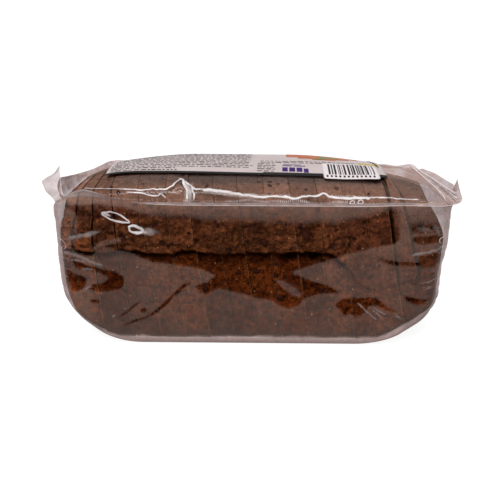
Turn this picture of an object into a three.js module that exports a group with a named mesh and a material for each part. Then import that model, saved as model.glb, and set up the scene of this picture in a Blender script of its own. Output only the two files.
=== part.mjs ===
import * as THREE from 'three';

// A sliced tin loaf sealed in a clear film pack: a soft deep-drawn tray below, a top film domed
// over the loaf, the two sealed in a narrow flange all round, a printed label on the top film and
// a small white barcode sticker over the label's front edge.
// Millimetres. X runs along the loaf, Y from its front to its back, Z up.
// The origin is on the floor, under the middle of the pack.

// ---- Tray ---------------------------------------------------------------------------------------
const RIM_HEIGHT = 85;            // floor to the seal line
const RIM_LEFT = 100;             // the seal line's ends, from the origin
const RIM_RIGHT = 107;
const RIM_HALF_WIDTH = 49;
const RIM_CORNER = 10;            // corner radius in plan at the rim
const LEFT_PULL = 7;              // the sealed film draws the rim in this far at the back left
const WALL_LEFT = 108.5;          // the tray at mid height
const WALL_RIGHT = 109.5;
const WALL_HALF_WIDTH = 46.5;
const WALL_CORNER = 20;
const FLAT_LEFT = 70;             // the flat bottom
const FLAT_RIGHT = 80;
const FLAT_HALF_WIDTH = 42;
const RISE_LEFT = 34;             // heights of the big rounded corners at the bottom's ends
const RISE_RIGHT = 28;
const SIDE_RISE = 6;              // height of the rounded edge along the bottom
const BAND_HEIGHT = 62;           // the loaf's rough upper band presses the film out here
const BAND_BULGE = 1.6;
const BAND_REACH = 9;

// ---- Domed top film -----------------------------------------------------------------------------
const CROWN_MIDDLE = (RIM_RIGHT - RIM_LEFT) / 2;
const CROWN_RISE = 12.6;          // rim to the top of the dome
const CROWN_FULL_LEFT = 5.5;      // the higher, the longer the dome stays full towards that end
const CROWN_FULL_RIGHT = 3.2;
const CROWN_FLATNESS = 0.58;      // the lower, the flatter the dome across the loaf

// ---- Flange -------------------------------------------------------------------------------------
const FLANGE_WIDTH = 5;
const FLANGE_CORNER = 6;
const FLANGE_THICKNESS = 0.8;
// How the sealed edge stands, read anticlockwise: a place on the rim, the flange's angle above
// level in degrees and its width there. Between two places both turn smoothly.
const FLANGE_STATIONS = [
  { x: 107, y: -36, angle: 76, width: 13 },       // curled spike by the front right corner
  { x: 107, y: -32, angle: 56, width: 8 },
  { x: 107, y: -12, angle: 52, width: 7 },
  { x: 107, y: 5, angle: 40, width: 6.5 },
  { x: 107, y: 26, angle: 20, width: 5.5 },
  { x: 104, y: 46, angle: 12, width: 6.5 },       // back right corner
  { x: 98, y: 49, angle: 34, width: 5.5 },
  { x: 93, y: 49, angle: 10, width: 5 },
  { x: 88, y: 49, angle: 28, width: 5 },
  { x: 80, y: 49, angle: 6, width: 5 },
  { x: -38, y: 49, angle: 12, width: 5 },
  { x: -80, y: 49, angle: 6, width: 5 },
  { x: -91, y: 47, angle: 30, width: 4 },         // back left corner
  { x: -94, y: 30, angle: 8, width: 5 },
  { x: -96, y: 12, angle: 10, width: 5.5 },
  { x: -98, y: -12, angle: 48, width: 7 },
  { x: -100, y: -32, angle: 80, width: 10 },
  { x: -100, y: -38, angle: 84, width: 16.5 },    // tip of the flap that stands up
  { x: -97, y: -46, angle: 46, width: 16.5 },     // front left corner
  { x: -91, y: -49, angle: 34, width: 5.5 },
  { x: -86, y: -49, angle: 60, width: 5.5 },      // wave of the front edge
  { x: -76, y: -49, angle: 42, width: 5.5 },
  { x: -62, y: -49, angle: 4, width: 5 },
  { x: 0, y: -49, angle: -3, width: 5 },
  { x: 76, y: -49, angle: 5, width: 5 },
  { x: 95, y: -49, angle: 9, width: 5.5 },
  { x: 104, y: -46, angle: 22, width: 8 },        // front right corner
  { x: 107, y: -40, angle: 34, width: 7.5 },
];
// Places where the seal line itself leaves its plane.
const SEAL_RISES = [
  { x: -88, y: -49, reach: 14, height: 1.3 },
  { x: 78, y: -49, reach: 16, height: 0.9 },
];

// ---- Label and sticker --------------------------------------------------------------------------
const GAP = 0.3;                  // air between pieces that touch
const FACET_ROOM = 0.2;           // more of it over the dome, whose facets are coarser
const LABEL = { left: -79, right: 73, front: -30, back: 34, corner: 5, thick: 0.4 };
const STICKER = { left: 41, right: 70.5, front: -31.7, back: -11.5, corner: 1, thick: 0.35 };

// ---- How finely the surfaces are cut ------------------------------------------------------------
const LONG_STEPS = 24;
const SHORT_STEPS = 12;
const ARC_STEPS = 5;
const CROWDING = 0.6;             // how strongly the points crowd towards the corners, 0 to 1
const WALL_LEVELS = [0, 0.7, 2.4, 6, 12, 20, 29, 38, 48, 55, 62, 69, 76, 81];
const CROWN_SHARES = [0.965, 0.91, 0.83, 0.71, 0.55, 0.36, 0.18];

const clamp01 = (value) => Math.min(Math.max(value, 0), 1);
const mix = (a, b, share) => a + (b - a) * share;
const smooth = (share) => share * share * (3 - 2 * share);

// Points of a rectangle with rounded corners, anticlockwise from the front end of its +X side.
// Every outline has the same count of points on each stretch, so that two of them loft cleanly.
function roundedOutline(left, right, halfWidth, radius) {
  const points = [];
  const straight = (x0, y0, x1, y1, steps) => {
    for (let i = 0; i < steps; i++) {
      const even = i / steps;
      const share = mix(even, 0.5 - 0.5 * Math.cos(Math.PI * even), CROWDING);
      points.push([mix(x0, x1, share), mix(y0, y1, share)]);
    }
  };
  const arc = (cx, cy, start) => {
    for (let i = 0; i < ARC_STEPS; i++) {
      const angle = start + (Math.PI / 2) * (i / ARC_STEPS);
      points.push([cx + radius * Math.cos(angle), cy + radius * Math.sin(angle)]);
    }
  };
  const back = halfWidth - radius;
  straight(right, -back, right, back, SHORT_STEPS);
  arc(right - radius, back, 0);
  straight(right - radius, halfWidth, left + radius, halfWidth, LONG_STEPS);
  arc(left + radius, back, Math.PI / 2);
  straight(left, back, left, -back, SHORT_STEPS);
  arc(left + radius, -back, Math.PI);
  straight(left + radius, -halfWidth, right - radius, -halfWidth, LONG_STEPS);
  arc(right - radius, -back, 1.5 * Math.PI);
  return points;
}

// How far round a quarter ellipse of the given rise the tray has come at this height, 0 to 1.
const roundIn = (height, rise) => Math.sqrt(1 - (1 - clamp01(height / rise)) ** 2);

// How far the rim's left end is drawn in at one place across the loaf.
const pullAt = (y) => LEFT_PULL * smooth(clamp01(0.5 + y / (2 * RIM_HALF_WIDTH)));

function pulledIn(outline, share) {
  return outline.map(([x, y]) => {
    const nearLeft = clamp01((CROWN_MIDDLE - x) / (CROWN_MIDDLE + RIM_LEFT)) ** 3;
    return [x + pullAt(y) * nearLeft * share, y];
  });
}

// The tray's outline at one height: flat bottom, rounded edges, then walls that bulge a little
// past the rim at the ends and flare towards it at the sides.
function trayOutline(height) {
  const up = height / RIM_HEIGHT;
  const atRim = up ** 6;
  const left = -mix(FLAT_LEFT, mix(WALL_LEFT, RIM_LEFT, atRim), roundIn(height, RISE_LEFT));
  const right = mix(FLAT_RIGHT, mix(WALL_RIGHT, RIM_RIGHT, atRim), roundIn(height, RISE_RIGHT));
  const wall = mix(FLAT_HALF_WIDTH, WALL_HALF_WIDTH, roundIn(height, SIDE_RISE));
  const band = BAND_BULGE * Math.exp(-(((height - BAND_HEIGHT) / BAND_REACH) ** 2));
  const halfWidth = wall + (RIM_HALF_WIDTH - WALL_HALF_WIDTH) * up ** 2 + band;
  const outline = roundedOutline(left, right, halfWidth, mix(WALL_CORNER, RIM_CORNER, up ** 4));
  return pulledIn(outline, atRim);
}

// Height of the domed top film over a point inside the rim.
function crownHeight(x, y) {
  const along = x - CROWN_MIDDLE;
  const full = along < 0 ? CROWN_FULL_LEFT : CROWN_FULL_RIGHT;
  const reach = along < 0 ? CROWN_MIDDLE + RIM_LEFT - pullAt(y) : RIM_RIGHT - CROWN_MIDDLE;
  const u = clamp01(Math.abs(along) / reach);
  const v = clamp01(Math.abs(y) / RIM_HALF_WIDTH);
  return RIM_HEIGHT + CROWN_RISE * (1 - u ** full) ** 0.9 * (1 - v ** 2) ** CROWN_FLATNESS;
}

function sealRise(x, y) {
  const rise = (r) => r.height * Math.exp(-((x - r.x) ** 2 + (y - r.y) ** 2) / r.reach ** 2);
  return SEAL_RISES.reduce((sum, r) => sum + rise(r), 0);
}

// Angle and width of the flange at every point of the rim, from the stations round it.
function flangeStance(rim) {
  const stepAfter = (i) => {
    const next = rim[(i + 1) % rim.length];
    return Math.hypot(next[0] - rim[i][0], next[1] - rim[i][1]);
  };
  const places = [];
  let around = 0;
  for (let i = 0; i < rim.length; i++) {
    places.push(around);
    around += stepAfter(i);
  }
  const stations = FLANGE_STATIONS.map((station) => {
    const far = rim.map(([x, y]) => Math.hypot(x - station.x, y - station.y));
    return { ...station, place: places[far.indexOf(Math.min(...far))] };
  }).sort((a, b) => a.place - b.place);
  return places.map((place) => {
    const before = stations.findLast((s) => s.place <= place) ?? stations.at(-1);
    const after = stations.find((s) => s.place > place) ?? stations[0];
    const span = (after.place - before.place + around) % around;
    const share = smooth(((place - before.place + around) % around) / span);
    return {
      angle: THREE.MathUtils.degToRad(mix(before.angle, after.angle, share)),
      width: mix(before.width, after.width, share),
    };
  });
}

// One ring of the flange: share 0 at the rim to 1 at its free edge, raised along its own normal.
function flangeRing(rim, edge, stance, share, raise) {
  return rim.map(([x, y], i) => {
    const away = new THREE.Vector2(edge[i][0] - x, edge[i][1] - y).normalize();
    const { angle, width } = stance[i];
    const turn = angle * smooth(Math.min(1, 0.4 + share));
    const along = width * share * Math.cos(turn) - raise * Math.sin(turn);
    const up = width * share * Math.sin(turn) + raise * Math.cos(turn);
    return [x + away.x * along, y + away.y * along, RIM_HEIGHT + sealRise(x, y) + up];
  });
}

function bufferGeometry(positions, index) {
  const geometry = new THREE.BufferGeometry();
  geometry.setAttribute('position', new THREE.Float32BufferAttribute(positions.flat(), 3));
  geometry.setIndex(index);
  geometry.computeVertexNormals();
  return geometry;
}

// One closed surface from rings of equal length, with a middle point capping each end.
function loftGeometry(rings, bottomMiddle, topMiddle) {
  const count = rings[0].length;
  const positions = [bottomMiddle, ...rings.flat(), topMiddle];
  const top = positions.length - 1;
  const at = (ring, i) => 1 + ring * count + (i % count);
  const index = [];
  for (let i = 0; i < count; i++) {
    index.push(0, at(0, i + 1), at(0, i));
    index.push(top, at(rings.length - 1, i), at(rings.length - 1, i + 1));
  }
  for (let ring = 0; ring + 1 < rings.length; ring++) {
    for (let i = 0; i < count; i++) {
      const [a, b] = [at(ring, i), at(ring, i + 1)];
      const [c, d] = [at(ring + 1, i + 1), at(ring + 1, i)];
      index.push(a, b, c, a, c, d);
    }
  }
  return bufferGeometry(positions, index);
}

function packGeometry() {
  const rim = trayOutline(RIM_HEIGHT);
  const edge = pulledIn(roundedOutline(
    -RIM_LEFT - FLANGE_WIDTH,
    RIM_RIGHT + FLANGE_WIDTH,
    RIM_HALF_WIDTH + FLANGE_WIDTH,
    FLANGE_CORNER,
  ), 1);
  const stance = flangeStance(rim);
  const half = FLANGE_THICKNESS / 2;
  const walls = WALL_LEVELS.map((z) => trayOutline(z).map(([x, y]) => [x, y, z]));
  const under = [0, 0.5, 1].map((share) => flangeRing(rim, edge, stance, share, -half));
  const over = [1, 0.5, 0].map((share) => flangeRing(rim, edge, stance, share, half));
  const crown = CROWN_SHARES.map((share) => rim.map(([rimX, rimY]) => {
    const x = mix(CROWN_MIDDLE, rimX, share);
    const y = rimY * share;
    return [x, y, crownHeight(x, y) + sealRise(rimX, rimY) * share ** 12];
  }));
  const top = [CROWN_MIDDLE, 0, crownHeight(CROWN_MIDDLE, 0)];
  return loftGeometry([...walls, ...under, ...over, ...crown], [0, 0, 0], top);
}

// A thin sheet that follows the domed film, lifted off it, with rounded corners in plan.
function sheetGeometry({ left, right, front, back, corner, thick }, lift, xSteps, ySteps) {
  const rows = [];
  for (let j = 0; j <= ySteps; j++) {
    const y = mix(front, back, 0.5 - 0.5 * Math.cos((Math.PI * j) / ySteps));
    const short = Math.max(corner - Math.min(y - front, back - y), 0);
    const inset = corner - Math.sqrt(corner ** 2 - short ** 2);
    rows.push({ y, x0: left + inset, x1: right - inset });
  }
  const layer = (height) => rows.flatMap(({ y, x0, x1 }) => {
    const xs = Array.from({ length: xSteps + 1 }, (_, i) => mix(x0, x1, i / xSteps));
    return xs.map((x) => [x, y, crownHeight(x, y) + height]);
  });
  const width = xSteps + 1;
  const base = width * rows.length;
  const index = [];
  for (let j = 0; j < ySteps; j++) {
    for (let i = 0; i < xSteps; i++) {
      const a = j * width + i;
      const [b, c, d] = [a + 1, a + width + 1, a + width];
      index.push(a, c, b, a, d, c);
      index.push(base + a, base + b, base + c, base + a, base + c, base + d);
    }
  }
  const border = [];
  for (let i = 0; i < xSteps; i++) border.push(i);
  for (let j = 0; j < ySteps; j++) border.push(j * width + xSteps);
  for (let i = xSteps; i > 0; i--) border.push(ySteps * width + i);
  for (let j = ySteps; j > 0; j--) border.push(j * width);
  border.forEach((a, k) => {
    const b = border[(k + 1) % border.length];
    index.push(a, b, base + b, a, base + b, base + a);
  });
  return bufferGeometry([...layer(lift), ...layer(lift + thick)], index);
}

function solid(name, geometry, color, roughness) {
  const material = new THREE.MeshStandardMaterial({ color, roughness, metalness: 0 });
  const mesh = new THREE.Mesh(geometry, material);
  mesh.name = name;
  return mesh;
}

const labelLift = GAP + FACET_ROOM;
const stickerLift = labelLift + LABEL.thick + GAP;
const group = new THREE.Group();
group.name = 'tin_loaf_pack';
group.add(solid('pack', packGeometry(), 0x5e4133, 0.3));
group.add(solid('label', sheetGeometry(LABEL, labelLift, 24, 10), 0xded0ce, 0.45));
group.add(solid('barcode_sticker', sheetGeometry(STICKER, stickerLift, 8, 8), 0xf0ecec, 0.5));

export default group;
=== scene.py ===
# %% [markdown]
# # A sliced tin loaf in a clear film pack
# A dark tin loaf, cut into slices that stand together as the whole loaf, sealed between a soft
# deep-drawn film tray and a film lid. A printed label lies on the lid, and a white sticker with
# bars overlaps the label's front edge.
#
# The lesson builds it from the inside out: the slices, their fruit and crumbs, then the film
# round them, then what is printed on top. The solids that come with the scene give the room
# that every piece has to stay in.

import itertools
import math

import bpy
import numpy as np
from mathutils import Matrix, Vector
from mathutils.bvhtree import BVHTree


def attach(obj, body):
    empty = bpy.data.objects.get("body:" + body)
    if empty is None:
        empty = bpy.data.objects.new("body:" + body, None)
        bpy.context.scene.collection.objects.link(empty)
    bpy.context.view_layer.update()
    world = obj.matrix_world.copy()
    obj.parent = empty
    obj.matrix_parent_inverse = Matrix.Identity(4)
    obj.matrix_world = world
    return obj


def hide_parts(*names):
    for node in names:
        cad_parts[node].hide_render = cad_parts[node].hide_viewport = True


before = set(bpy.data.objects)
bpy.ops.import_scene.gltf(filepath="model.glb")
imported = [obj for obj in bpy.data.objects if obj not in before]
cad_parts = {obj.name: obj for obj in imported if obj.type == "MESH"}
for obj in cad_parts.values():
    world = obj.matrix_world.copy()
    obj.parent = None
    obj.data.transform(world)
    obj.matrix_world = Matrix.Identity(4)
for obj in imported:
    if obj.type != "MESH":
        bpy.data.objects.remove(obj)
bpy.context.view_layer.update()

# %% [markdown]
# ## Units and small helpers
# A loaf is easier to think about in millimetres, so every size below is in millimetres and
# only the last step into a mesh divides by 1000. X runs along the loaf, Y from its front to
# its back, Z up, and the pack stands on Z = 0.

# %% Helpers for shapes
MM = 0.001


def clamp01(value):
    return np.clip(value, 0.0, 1.0)


def mix(a, b, share):
    return a + (b - a) * share


def smooth(share):
    """Eases a share from 0 to 1 in and out."""
    share = clamp01(share)
    return share * share * (3 - 2 * share)


def hump(value, middle, reach):
    """A soft bump of height 1 round `middle`."""
    return np.exp(-(((value - middle) / reach) ** 2))


def ring_grid(rows, around):
    """Quads between `rows` closed rings of `around` points each."""
    ring = np.arange(around)
    ahead = (ring + 1) % around
    base = np.arange(rows - 1)[:, None] * around
    quads = np.stack(
        [base + ring, base + ahead, base + around + ahead, base + around + ring], axis=-1
    )
    return quads.reshape(-1, 4)


def sheet_grid(rows, columns):
    """Quads of an open sheet of rows x columns points."""
    corner = (np.arange(rows - 1)[:, None] * columns + np.arange(columns - 1)).ravel()
    return np.stack([corner, corner + 1, corner + columns + 1, corner + columns], axis=-1)


def make_piece(name, points, faces, material, marks=None):
    """A smooth mesh object from points in millimetres; marks are numbers on its points."""
    mesh = bpy.data.meshes.new(name)
    mesh.from_pydata((np.asarray(points) * MM).tolist(), [], [tuple(f) for f in faces])
    mesh.validate()
    mesh.polygons.foreach_set("use_smooth", [True] * len(mesh.polygons))
    for mark, values in (marks or {}).items():
        layer = mesh.attributes.new(mark, "FLOAT", "POINT")
        layer.data.foreach_set("value", np.asarray(values, np.float32))
    mesh.materials.append(material)
    made = bpy.data.objects.new(name, mesh)
    bpy.context.scene.collection.objects.link(made)
    return made


print("quads between two rings of four points:", ring_grid(2, 4).tolist())

# %% [markdown]
# ## Smooth random numbers
# Baked crust, torn crumb and slack film are all uneven, but never jumpy. Blender has noise
# textures, but only a material or a modifier can read them, and here the numbers are needed
# while the meshes are made. Noise from a lattice is easy to write in a few lines of numpy:
# random numbers sit on the corners of a grid of cubes, and a point inside a cube gets a blend
# of its eight corners. A fixed seed gives the same loaf every time.

# %% Lattice noise
LATTICE = 32


def noise(points, size, seed):
    """Numbers from -1 to 1 that change over about `size` millimetres."""
    table = np.random.default_rng(seed).uniform(-1, 1, (LATTICE,) * 3)
    place = np.asarray(points) / size
    cell = np.floor(place).astype(int)
    share = smooth(place - cell)
    total = np.zeros(len(place))
    for corner in itertools.product((0, 1), repeat=3):
        weight = np.prod(np.where(corner, share, 1 - share), axis=1)
        x, y, z = ((cell + corner) % LATTICE).T
        total += weight * table[x, y, z]
    return total


def ragged(points, size, seed, layers=3):
    """Noise with finer and fainter noise added, as crust and torn crumb have."""
    return sum(
        noise(points, size / 2**layer, seed + layer) / 2**layer for layer in range(layers)
    )


print("noise 10 mm out on each axis:", np.round(noise(np.eye(3) * 10, 25, 1), 2).tolist())

# %% [markdown]
# ## Shader maths as Python expressions
# A material's node tree is arithmetic. It could be drawn by hand in the Shader Editor, or
# wired up here node by node, but both hide the sum that is meant. Wrapping a socket in a small
# class lets Python's own operators add the Math nodes, so `1 - veil * 0.5` reads as what it
# does. Colours go through Mix nodes, because a Math node would turn them grey.

# %% A socket to calculate with


class Wire:
    """One output socket of a material, for use in expressions."""

    def __init__(self, tree, socket):
        self.tree = tree
        self.socket = socket

    def _maths(self, operation, first, second):
        settings = {"operation": operation}
        return self.tree.node("ShaderNodeMath", settings, {0: first, 1: second})

    def __add__(self, other):
        return self._maths("ADD", self, other)

    def __sub__(self, other):
        return self._maths("SUBTRACT", self, other)

    def __rsub__(self, other):
        return self._maths("SUBTRACT", other, self)

    def __mul__(self, other):
        return self._maths("MULTIPLY", self, other)

    __radd__ = __add__
    __rmul__ = __mul__

    def also(self, output):
        """Another output of the same node."""
        return Wire(self.tree, self.socket.node.outputs[output])

    def eased(self, low, high):
        """0 below `low`, 1 above `high`, eased between; low may be the larger."""
        settings = {"interpolation_type": "SMOOTHSTEP"}
        stops = {"Value": self, "From Min": low, "From Max": high}
        return self.tree.node("ShaderNodeMapRange", settings, stops, "Result")


print("a wire offers, besides its operators:", [name for name in vars(Wire) if name[0] != "_"])

# %% [markdown]
# Every other node comes from one method, `node`, which takes the type, the settings and what
# goes into it. It could be called for each node by itself, but a crust needs over a hundred,
# so the few kinds that come up again and again get short names of their own.

# %% A material under construction


class Finish:
    """A material under construction."""

    def __init__(self, name):
        self.material = bpy.data.materials.new(name)
        self.material.use_nodes = True
        self.tree = self.material.node_tree
        self.tree.nodes.clear()

    def node(self, kind, settings=None, inputs=None, output=0):
        """Adds a node: settings first, then values or links; gives back one output."""
        made = self.tree.nodes.new(kind)
        for key, value in (settings or {}).items():
            setattr(made, key, value)
        for key, value in (inputs or {}).items():
            if isinstance(value, Wire):
                self.tree.links.new(value.socket, made.inputs[key])
            else:
                made.inputs[key].default_value = value
        return None if output is None else Wire(self, made.outputs[output])

    def mark(self, name):
        """A number that the mesh carries on its points."""
        settings = {"attribute_name": name, "attribute_type": "GEOMETRY"}
        return self.node("ShaderNodeAttribute", settings, output="Fac")

    def place(self):
        return self.node("ShaderNodeTexCoord", output="Object")

    def noise(self, size, detail=2.0, roughness=0.5):
        """Noise from 0 to 1 whose features are about `size` millimetres across."""
        inputs = {
            "Vector": self.place(),
            "Scale": 1 / (size * MM),
            "Detail": detail,
            "Roughness": roughness,
        }
        return self.node("ShaderNodeTexNoise", None, inputs, "Fac")

    def dots(self, size):
        """Distance to the middle of the nearest of many cells, about `size` mm across."""
        inputs = {"Vector": self.place(), "Scale": 1 / (size * MM)}
        return self.node("ShaderNodeTexVoronoi", None, inputs, "Distance")

    def mix_colours(self, factor, first, second):
        settings = {"data_type": "RGBA"}
        inputs = {"Factor": factor, 6: first, 7: second}
        return self.node("ShaderNodeMix", settings, inputs, 2)

    def bump(self, height, strength, depth):
        """A normal tilted by `height`, whose full range is `depth` millimetres."""
        inputs = {"Height": height, "Strength": strength, "Distance": depth * MM}
        return self.node("ShaderNodeBump", None, inputs, "Normal")

    def mix_shaders(self, factor, first, second):
        inputs = {"Fac": factor, 1: first, 2: second}
        return self.node("ShaderNodeMixShader", None, inputs, "Shader")

    def channel(self, colour, name):
        """Red, Green or Blue of a colour."""
        return self.node("ShaderNodeSeparateColor", None, {"Color": colour}, name)

    def principled(self, inputs):
        """The finished material, with one Principled shader."""
        return self.finish(self.node("ShaderNodeBsdfPrincipled", None, inputs, "BSDF"))

    def finish(self, shader):
        self.node("ShaderNodeOutputMaterial", None, {"Surface": shader}, None)
        return self.material


def rgb(red, green, blue):
    return (red, green, blue, 1.0)


print("a finish offers:", [name for name in vars(Finish) if not name.startswith("_")])

# %% [markdown]
# ## The film's shape
# The tray is soft film drawn into a mould: a flat bottom, big rounded corners at the bottom's
# ends, and walls that flare a little towards the rim. A box with a Bevel modifier could give
# the rough form, but not corners that change from the bottom to the rim. Its outline at any
# height is a rectangle with rounded corners, so the whole wall is a loft of such outlines. The
# same few functions also say how much room the bread has.

# %% Sizes of the tray, from the bottom to the rim
RIM_HEIGHT = 85.0
RIM_LEFT, RIM_RIGHT, RIM_HALF_WIDTH, RIM_CORNER = 99.5, 107.0, 49.0, 6.0
WALL_LEFT, WALL_RIGHT, WALL_HALF_WIDTH, WALL_CORNER = 107.0, 108.4, 46.5, 12.0
FLAT_LEFT, FLAT_RIGHT, FLAT_HALF_WIDTH = 70.0, 69.0, 43.2
RISE_LEFT, RISE_RIGHT, SIDE_RISE = 34.0, 30.0, 6.0  # of the rounded edges round the flat
CORNER_SQUARENESS = 1.75
BAND_HEIGHT, BAND_BULGE, BAND_REACH = 62.0, 1.6, 9.0  # where the bread presses the film out
LEFT_TAPER, TAPER_FROM, TAPER_LENGTH = 1.3, 48.0, 20.0  # the left wall leans in higher up
LEFT_PULL, PULL_START, PULL_LENGTH = 8.5, 2.0, 50.0  # the rim drawn in at the left, by y
BACK_CORNER_PULL, BACK_PULL_START, BACK_PULL_LENGTH = 8.0, 45.0, 50.0  # and at the back, by x
LATE_PULL, EARLY_PULL = 40.0, 6.0  # powers: how near the rim the left end is drawn in
CROWN_MIDDLE = (RIM_RIGHT - RIM_LEFT) / 2


def pull_at(y):
    """How far the sealed rim's left end is drawn in, across the loaf."""
    return LEFT_PULL * smooth((y - PULL_START) / PULL_LENGTH)


def back_pull_at(x):
    """How far the sealed rim's back edge is drawn in, towards the right end."""
    return BACK_CORNER_PULL * smooth((x - BACK_PULL_START) / BACK_PULL_LENGTH)


def drawn_right(outline, by):
    """Moves the left end of an outline to the right, fading out towards the middle."""
    x, y = outline.T
    near_left = clamp01((CROWN_MIDDLE - x) / (CROWN_MIDDLE + RIM_LEFT)) ** 3
    return np.stack([x + by * near_left, y], axis=1)


print("rim, mm:", RIM_LEFT + RIM_RIGHT, "x", 2 * RIM_HALF_WIDTH)

# %% A rectangle with rounded corners, as points


def rounded_outline(left, right, half_width, radius, steps):
    """A rectangle with rounded corners, anticlockwise; steps = back, ends, front, arc."""
    back_steps, end_steps, front_steps, arc_steps = steps
    back = half_width - radius

    def straight(start, end, count):
        share = np.arange(count)[:, None] / count
        return np.array(start) * (1 - share) + np.array(end) * share

    def arc(middle_x, middle_y, first):
        angle = first + math.pi / 2 * np.arange(arc_steps) / arc_steps
        ring = np.stack([np.cos(angle), np.sin(angle)], axis=1)
        return np.array([middle_x, middle_y]) + radius * ring

    return np.concatenate([
        straight((right, -back), (right, back), end_steps),
        arc(right - radius, back, 0),
        straight((right - radius, half_width), (left + radius, half_width), back_steps),
        arc(left + radius, back, math.pi / 2),
        straight((left, back), (left, -back), end_steps),
        arc(left + radius, -back, math.pi),
        straight((left + radius, -half_width), (right - radius, -half_width), front_steps),
        arc(right - radius, -back, 1.5 * math.pi),
    ])


print("points of a coarse outline:", len(rounded_outline(-50, 50, 30, 8, (6, 4, 6, 3))))

# %% The tray's outline at any height


def round_in(height, rise):
    """How far round a flattened quarter circle of that rise the tray has come."""
    left = (1 - clamp01(height / rise)) ** CORNER_SQUARENESS
    return (1 - left) ** (1 / CORNER_SQUARENESS)


def half_width_at(height):
    wall = mix(FLAT_HALF_WIDTH, WALL_HALF_WIDTH, round_in(height, SIDE_RISE))
    flare = (RIM_HALF_WIDTH - WALL_HALF_WIDTH) * (height / RIM_HEIGHT) ** 2
    return wall + flare + BAND_BULGE * hump(height, BAND_HEIGHT, BAND_REACH)


def tray_outline(height, steps):
    up = height / RIM_HEIGHT
    wall_left = WALL_LEFT - LEFT_TAPER * smooth((height - TAPER_FROM) / TAPER_LENGTH)
    left = -mix(FLAT_LEFT, wall_left, round_in(height, RISE_LEFT))
    right = mix(FLAT_RIGHT, mix(WALL_RIGHT, RIM_RIGHT, up**6), round_in(height, RISE_RIGHT))
    corner = mix(WALL_CORNER, RIM_CORNER, up**4)
    outline = rounded_outline(left, right, half_width_at(height), corner, steps)
    x, y = outline.T
    lateness = mix(LATE_PULL, EARLY_PULL, smooth((y + 45) / 50))
    outline = np.stack([x, y - back_pull_at(x) * smooth(y / 40) * up**8], axis=1)
    return drawn_right(outline, (wall_left - RIM_LEFT + pull_at(y)) * up**lateness)


print("tray's half width at 10, 40 and 80 mm:", [round(half_width_at(h), 1) for h in (10, 40, 80)])

# %% [markdown]
# ## The dome of the lid
# The film lid was sealed over a loaf that stands higher than the tray, so it bulges: nearly
# flat over the loaf, and falling away towards the rim. It could be simulated as cloth that is
# blown up, but a formula is quicker, always gives the same dome, and can be asked for the
# height at any place. The print and the bread's top both need that.

# %% Height of the dome
CROWN_RISE, CROWN_FULL_LEFT, CROWN_FULL_RIGHT, CROWN_FLATNESS = 12.6, 5.5, 4.8, 0.58
CROWN_EDGE = 0.9
CROWN_SAG_LEFT, CROWN_SAG_RIGHT = 0.17, 0.24
SAG_FROM_LEFT, SAG_LENGTH_LEFT, SAG_FROM_RIGHT, SAG_LENGTH_RIGHT = -35, 40, 25, 50


def crown_height(x, y):
    """Height of the domed lid over a point inside the rim."""
    along = x - CROWN_MIDDLE
    full = np.where(along < 0, CROWN_FULL_LEFT, CROWN_FULL_RIGHT)
    reach_left = CROWN_MIDDLE + RIM_LEFT - pull_at(y)
    reach = np.where(along < 0, reach_left, RIM_RIGHT - CROWN_MIDDLE)
    u = clamp01(np.abs(along) / reach)
    v = clamp01(np.abs(y) / (RIM_HALF_WIDTH - np.where(y > 0, back_pull_at(x), 0.0)))
    sag_left = CROWN_SAG_LEFT * smooth((SAG_FROM_LEFT - x) / SAG_LENGTH_LEFT)
    sag_right = CROWN_SAG_RIGHT * smooth((x - SAG_FROM_RIGHT) / SAG_LENGTH_RIGHT)
    rise = CROWN_RISE * (1 - (sag_left + sag_right) * smooth((y + 15) / 45))
    return RIM_HEIGHT + rise * (1 - u**full) ** CROWN_EDGE * (1 - v**2) ** CROWN_FLATNESS


print("lid over the middle, mm:", round(float(crown_height(np.array(0.0), np.array(0.0))), 1))

# %% [markdown]
# ## Crust
# The crust is nearly black-brown at the sides, where it leaned on the tin, lighter and
# redder on top, and lighter again where a cut edge shows crumb. A painted picture could show
# that, but it would need unwrapping and would blur close up. So one procedural material does
# all of it: soft noise makes it patchy, and marks stored on the mesh say where the top, the
# torn band, the painted shade and the cut edges are.

# %% Colours of the crust, and the baked colour
SIDE_DARK = rgb(0.050, 0.0090, 0.0020)
SIDE_LIGHT = rgb(0.142, 0.031, 0.0070)
TOP_BROWN = rgb(0.240, 0.120, 0.082)
CRUMB_BROWN = rgb(0.250, 0.100, 0.045)
# Painted shade: near-black brown for the crevice, hollows, low grain, pores and pits.
SHADE_BROWN = rgb(0.016, 0.004, 0.0015)
GOLDEN = rgb(0.270, 0.085, 0.026)
# Dark of the crust's blots, and of the painted shade among the torn band's crags.
BLOT_AND_SHADOW_DARK = rgb(0.030, 0.011, 0.009)
FRUIT_STAIN = rgb(0.022, 0.008, 0.008)
SPECK_TAN = rgb(0.42, 0.25, 0.11)


def baked_colour(paint, patchy):
    """Dark sides, a redder top, and crumb where a slice was cut."""
    sides = (0.5 * paint.noise(26, 2) + 0.6 * patchy).eased(0.40, 0.72)
    body = paint.mix_colours(sides, SIDE_DARK, SIDE_LIGHT)
    topping = (paint.mark("top") * (0.55 + 0.6 * patchy)).eased(0.05, 0.95)
    body = paint.mix_colours(topping, body, TOP_BROWN)
    return paint.mix_colours(paint.mark("cut") * (0.6 + 0.5 * patchy), body, CRUMB_BROWN)


print("red of the top over red of the darkest side:", round(TOP_BROWN[0] / SIDE_DARK[0], 1))

# %% [markdown]
# Crust is never one tone close up. Golden crumb shows in the torn band and darker blots lie
# all over; painted shade darkens the band between its crags, the low places of the grain, and
# pores and pits, which are nearly black. Each is a layer of noise of its own size: `eased`
# turns the noise's upper or lower part into a soft-edged mask, and the mask mixes a colour in.

# %% Torn band, blots, pores and pits


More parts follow.
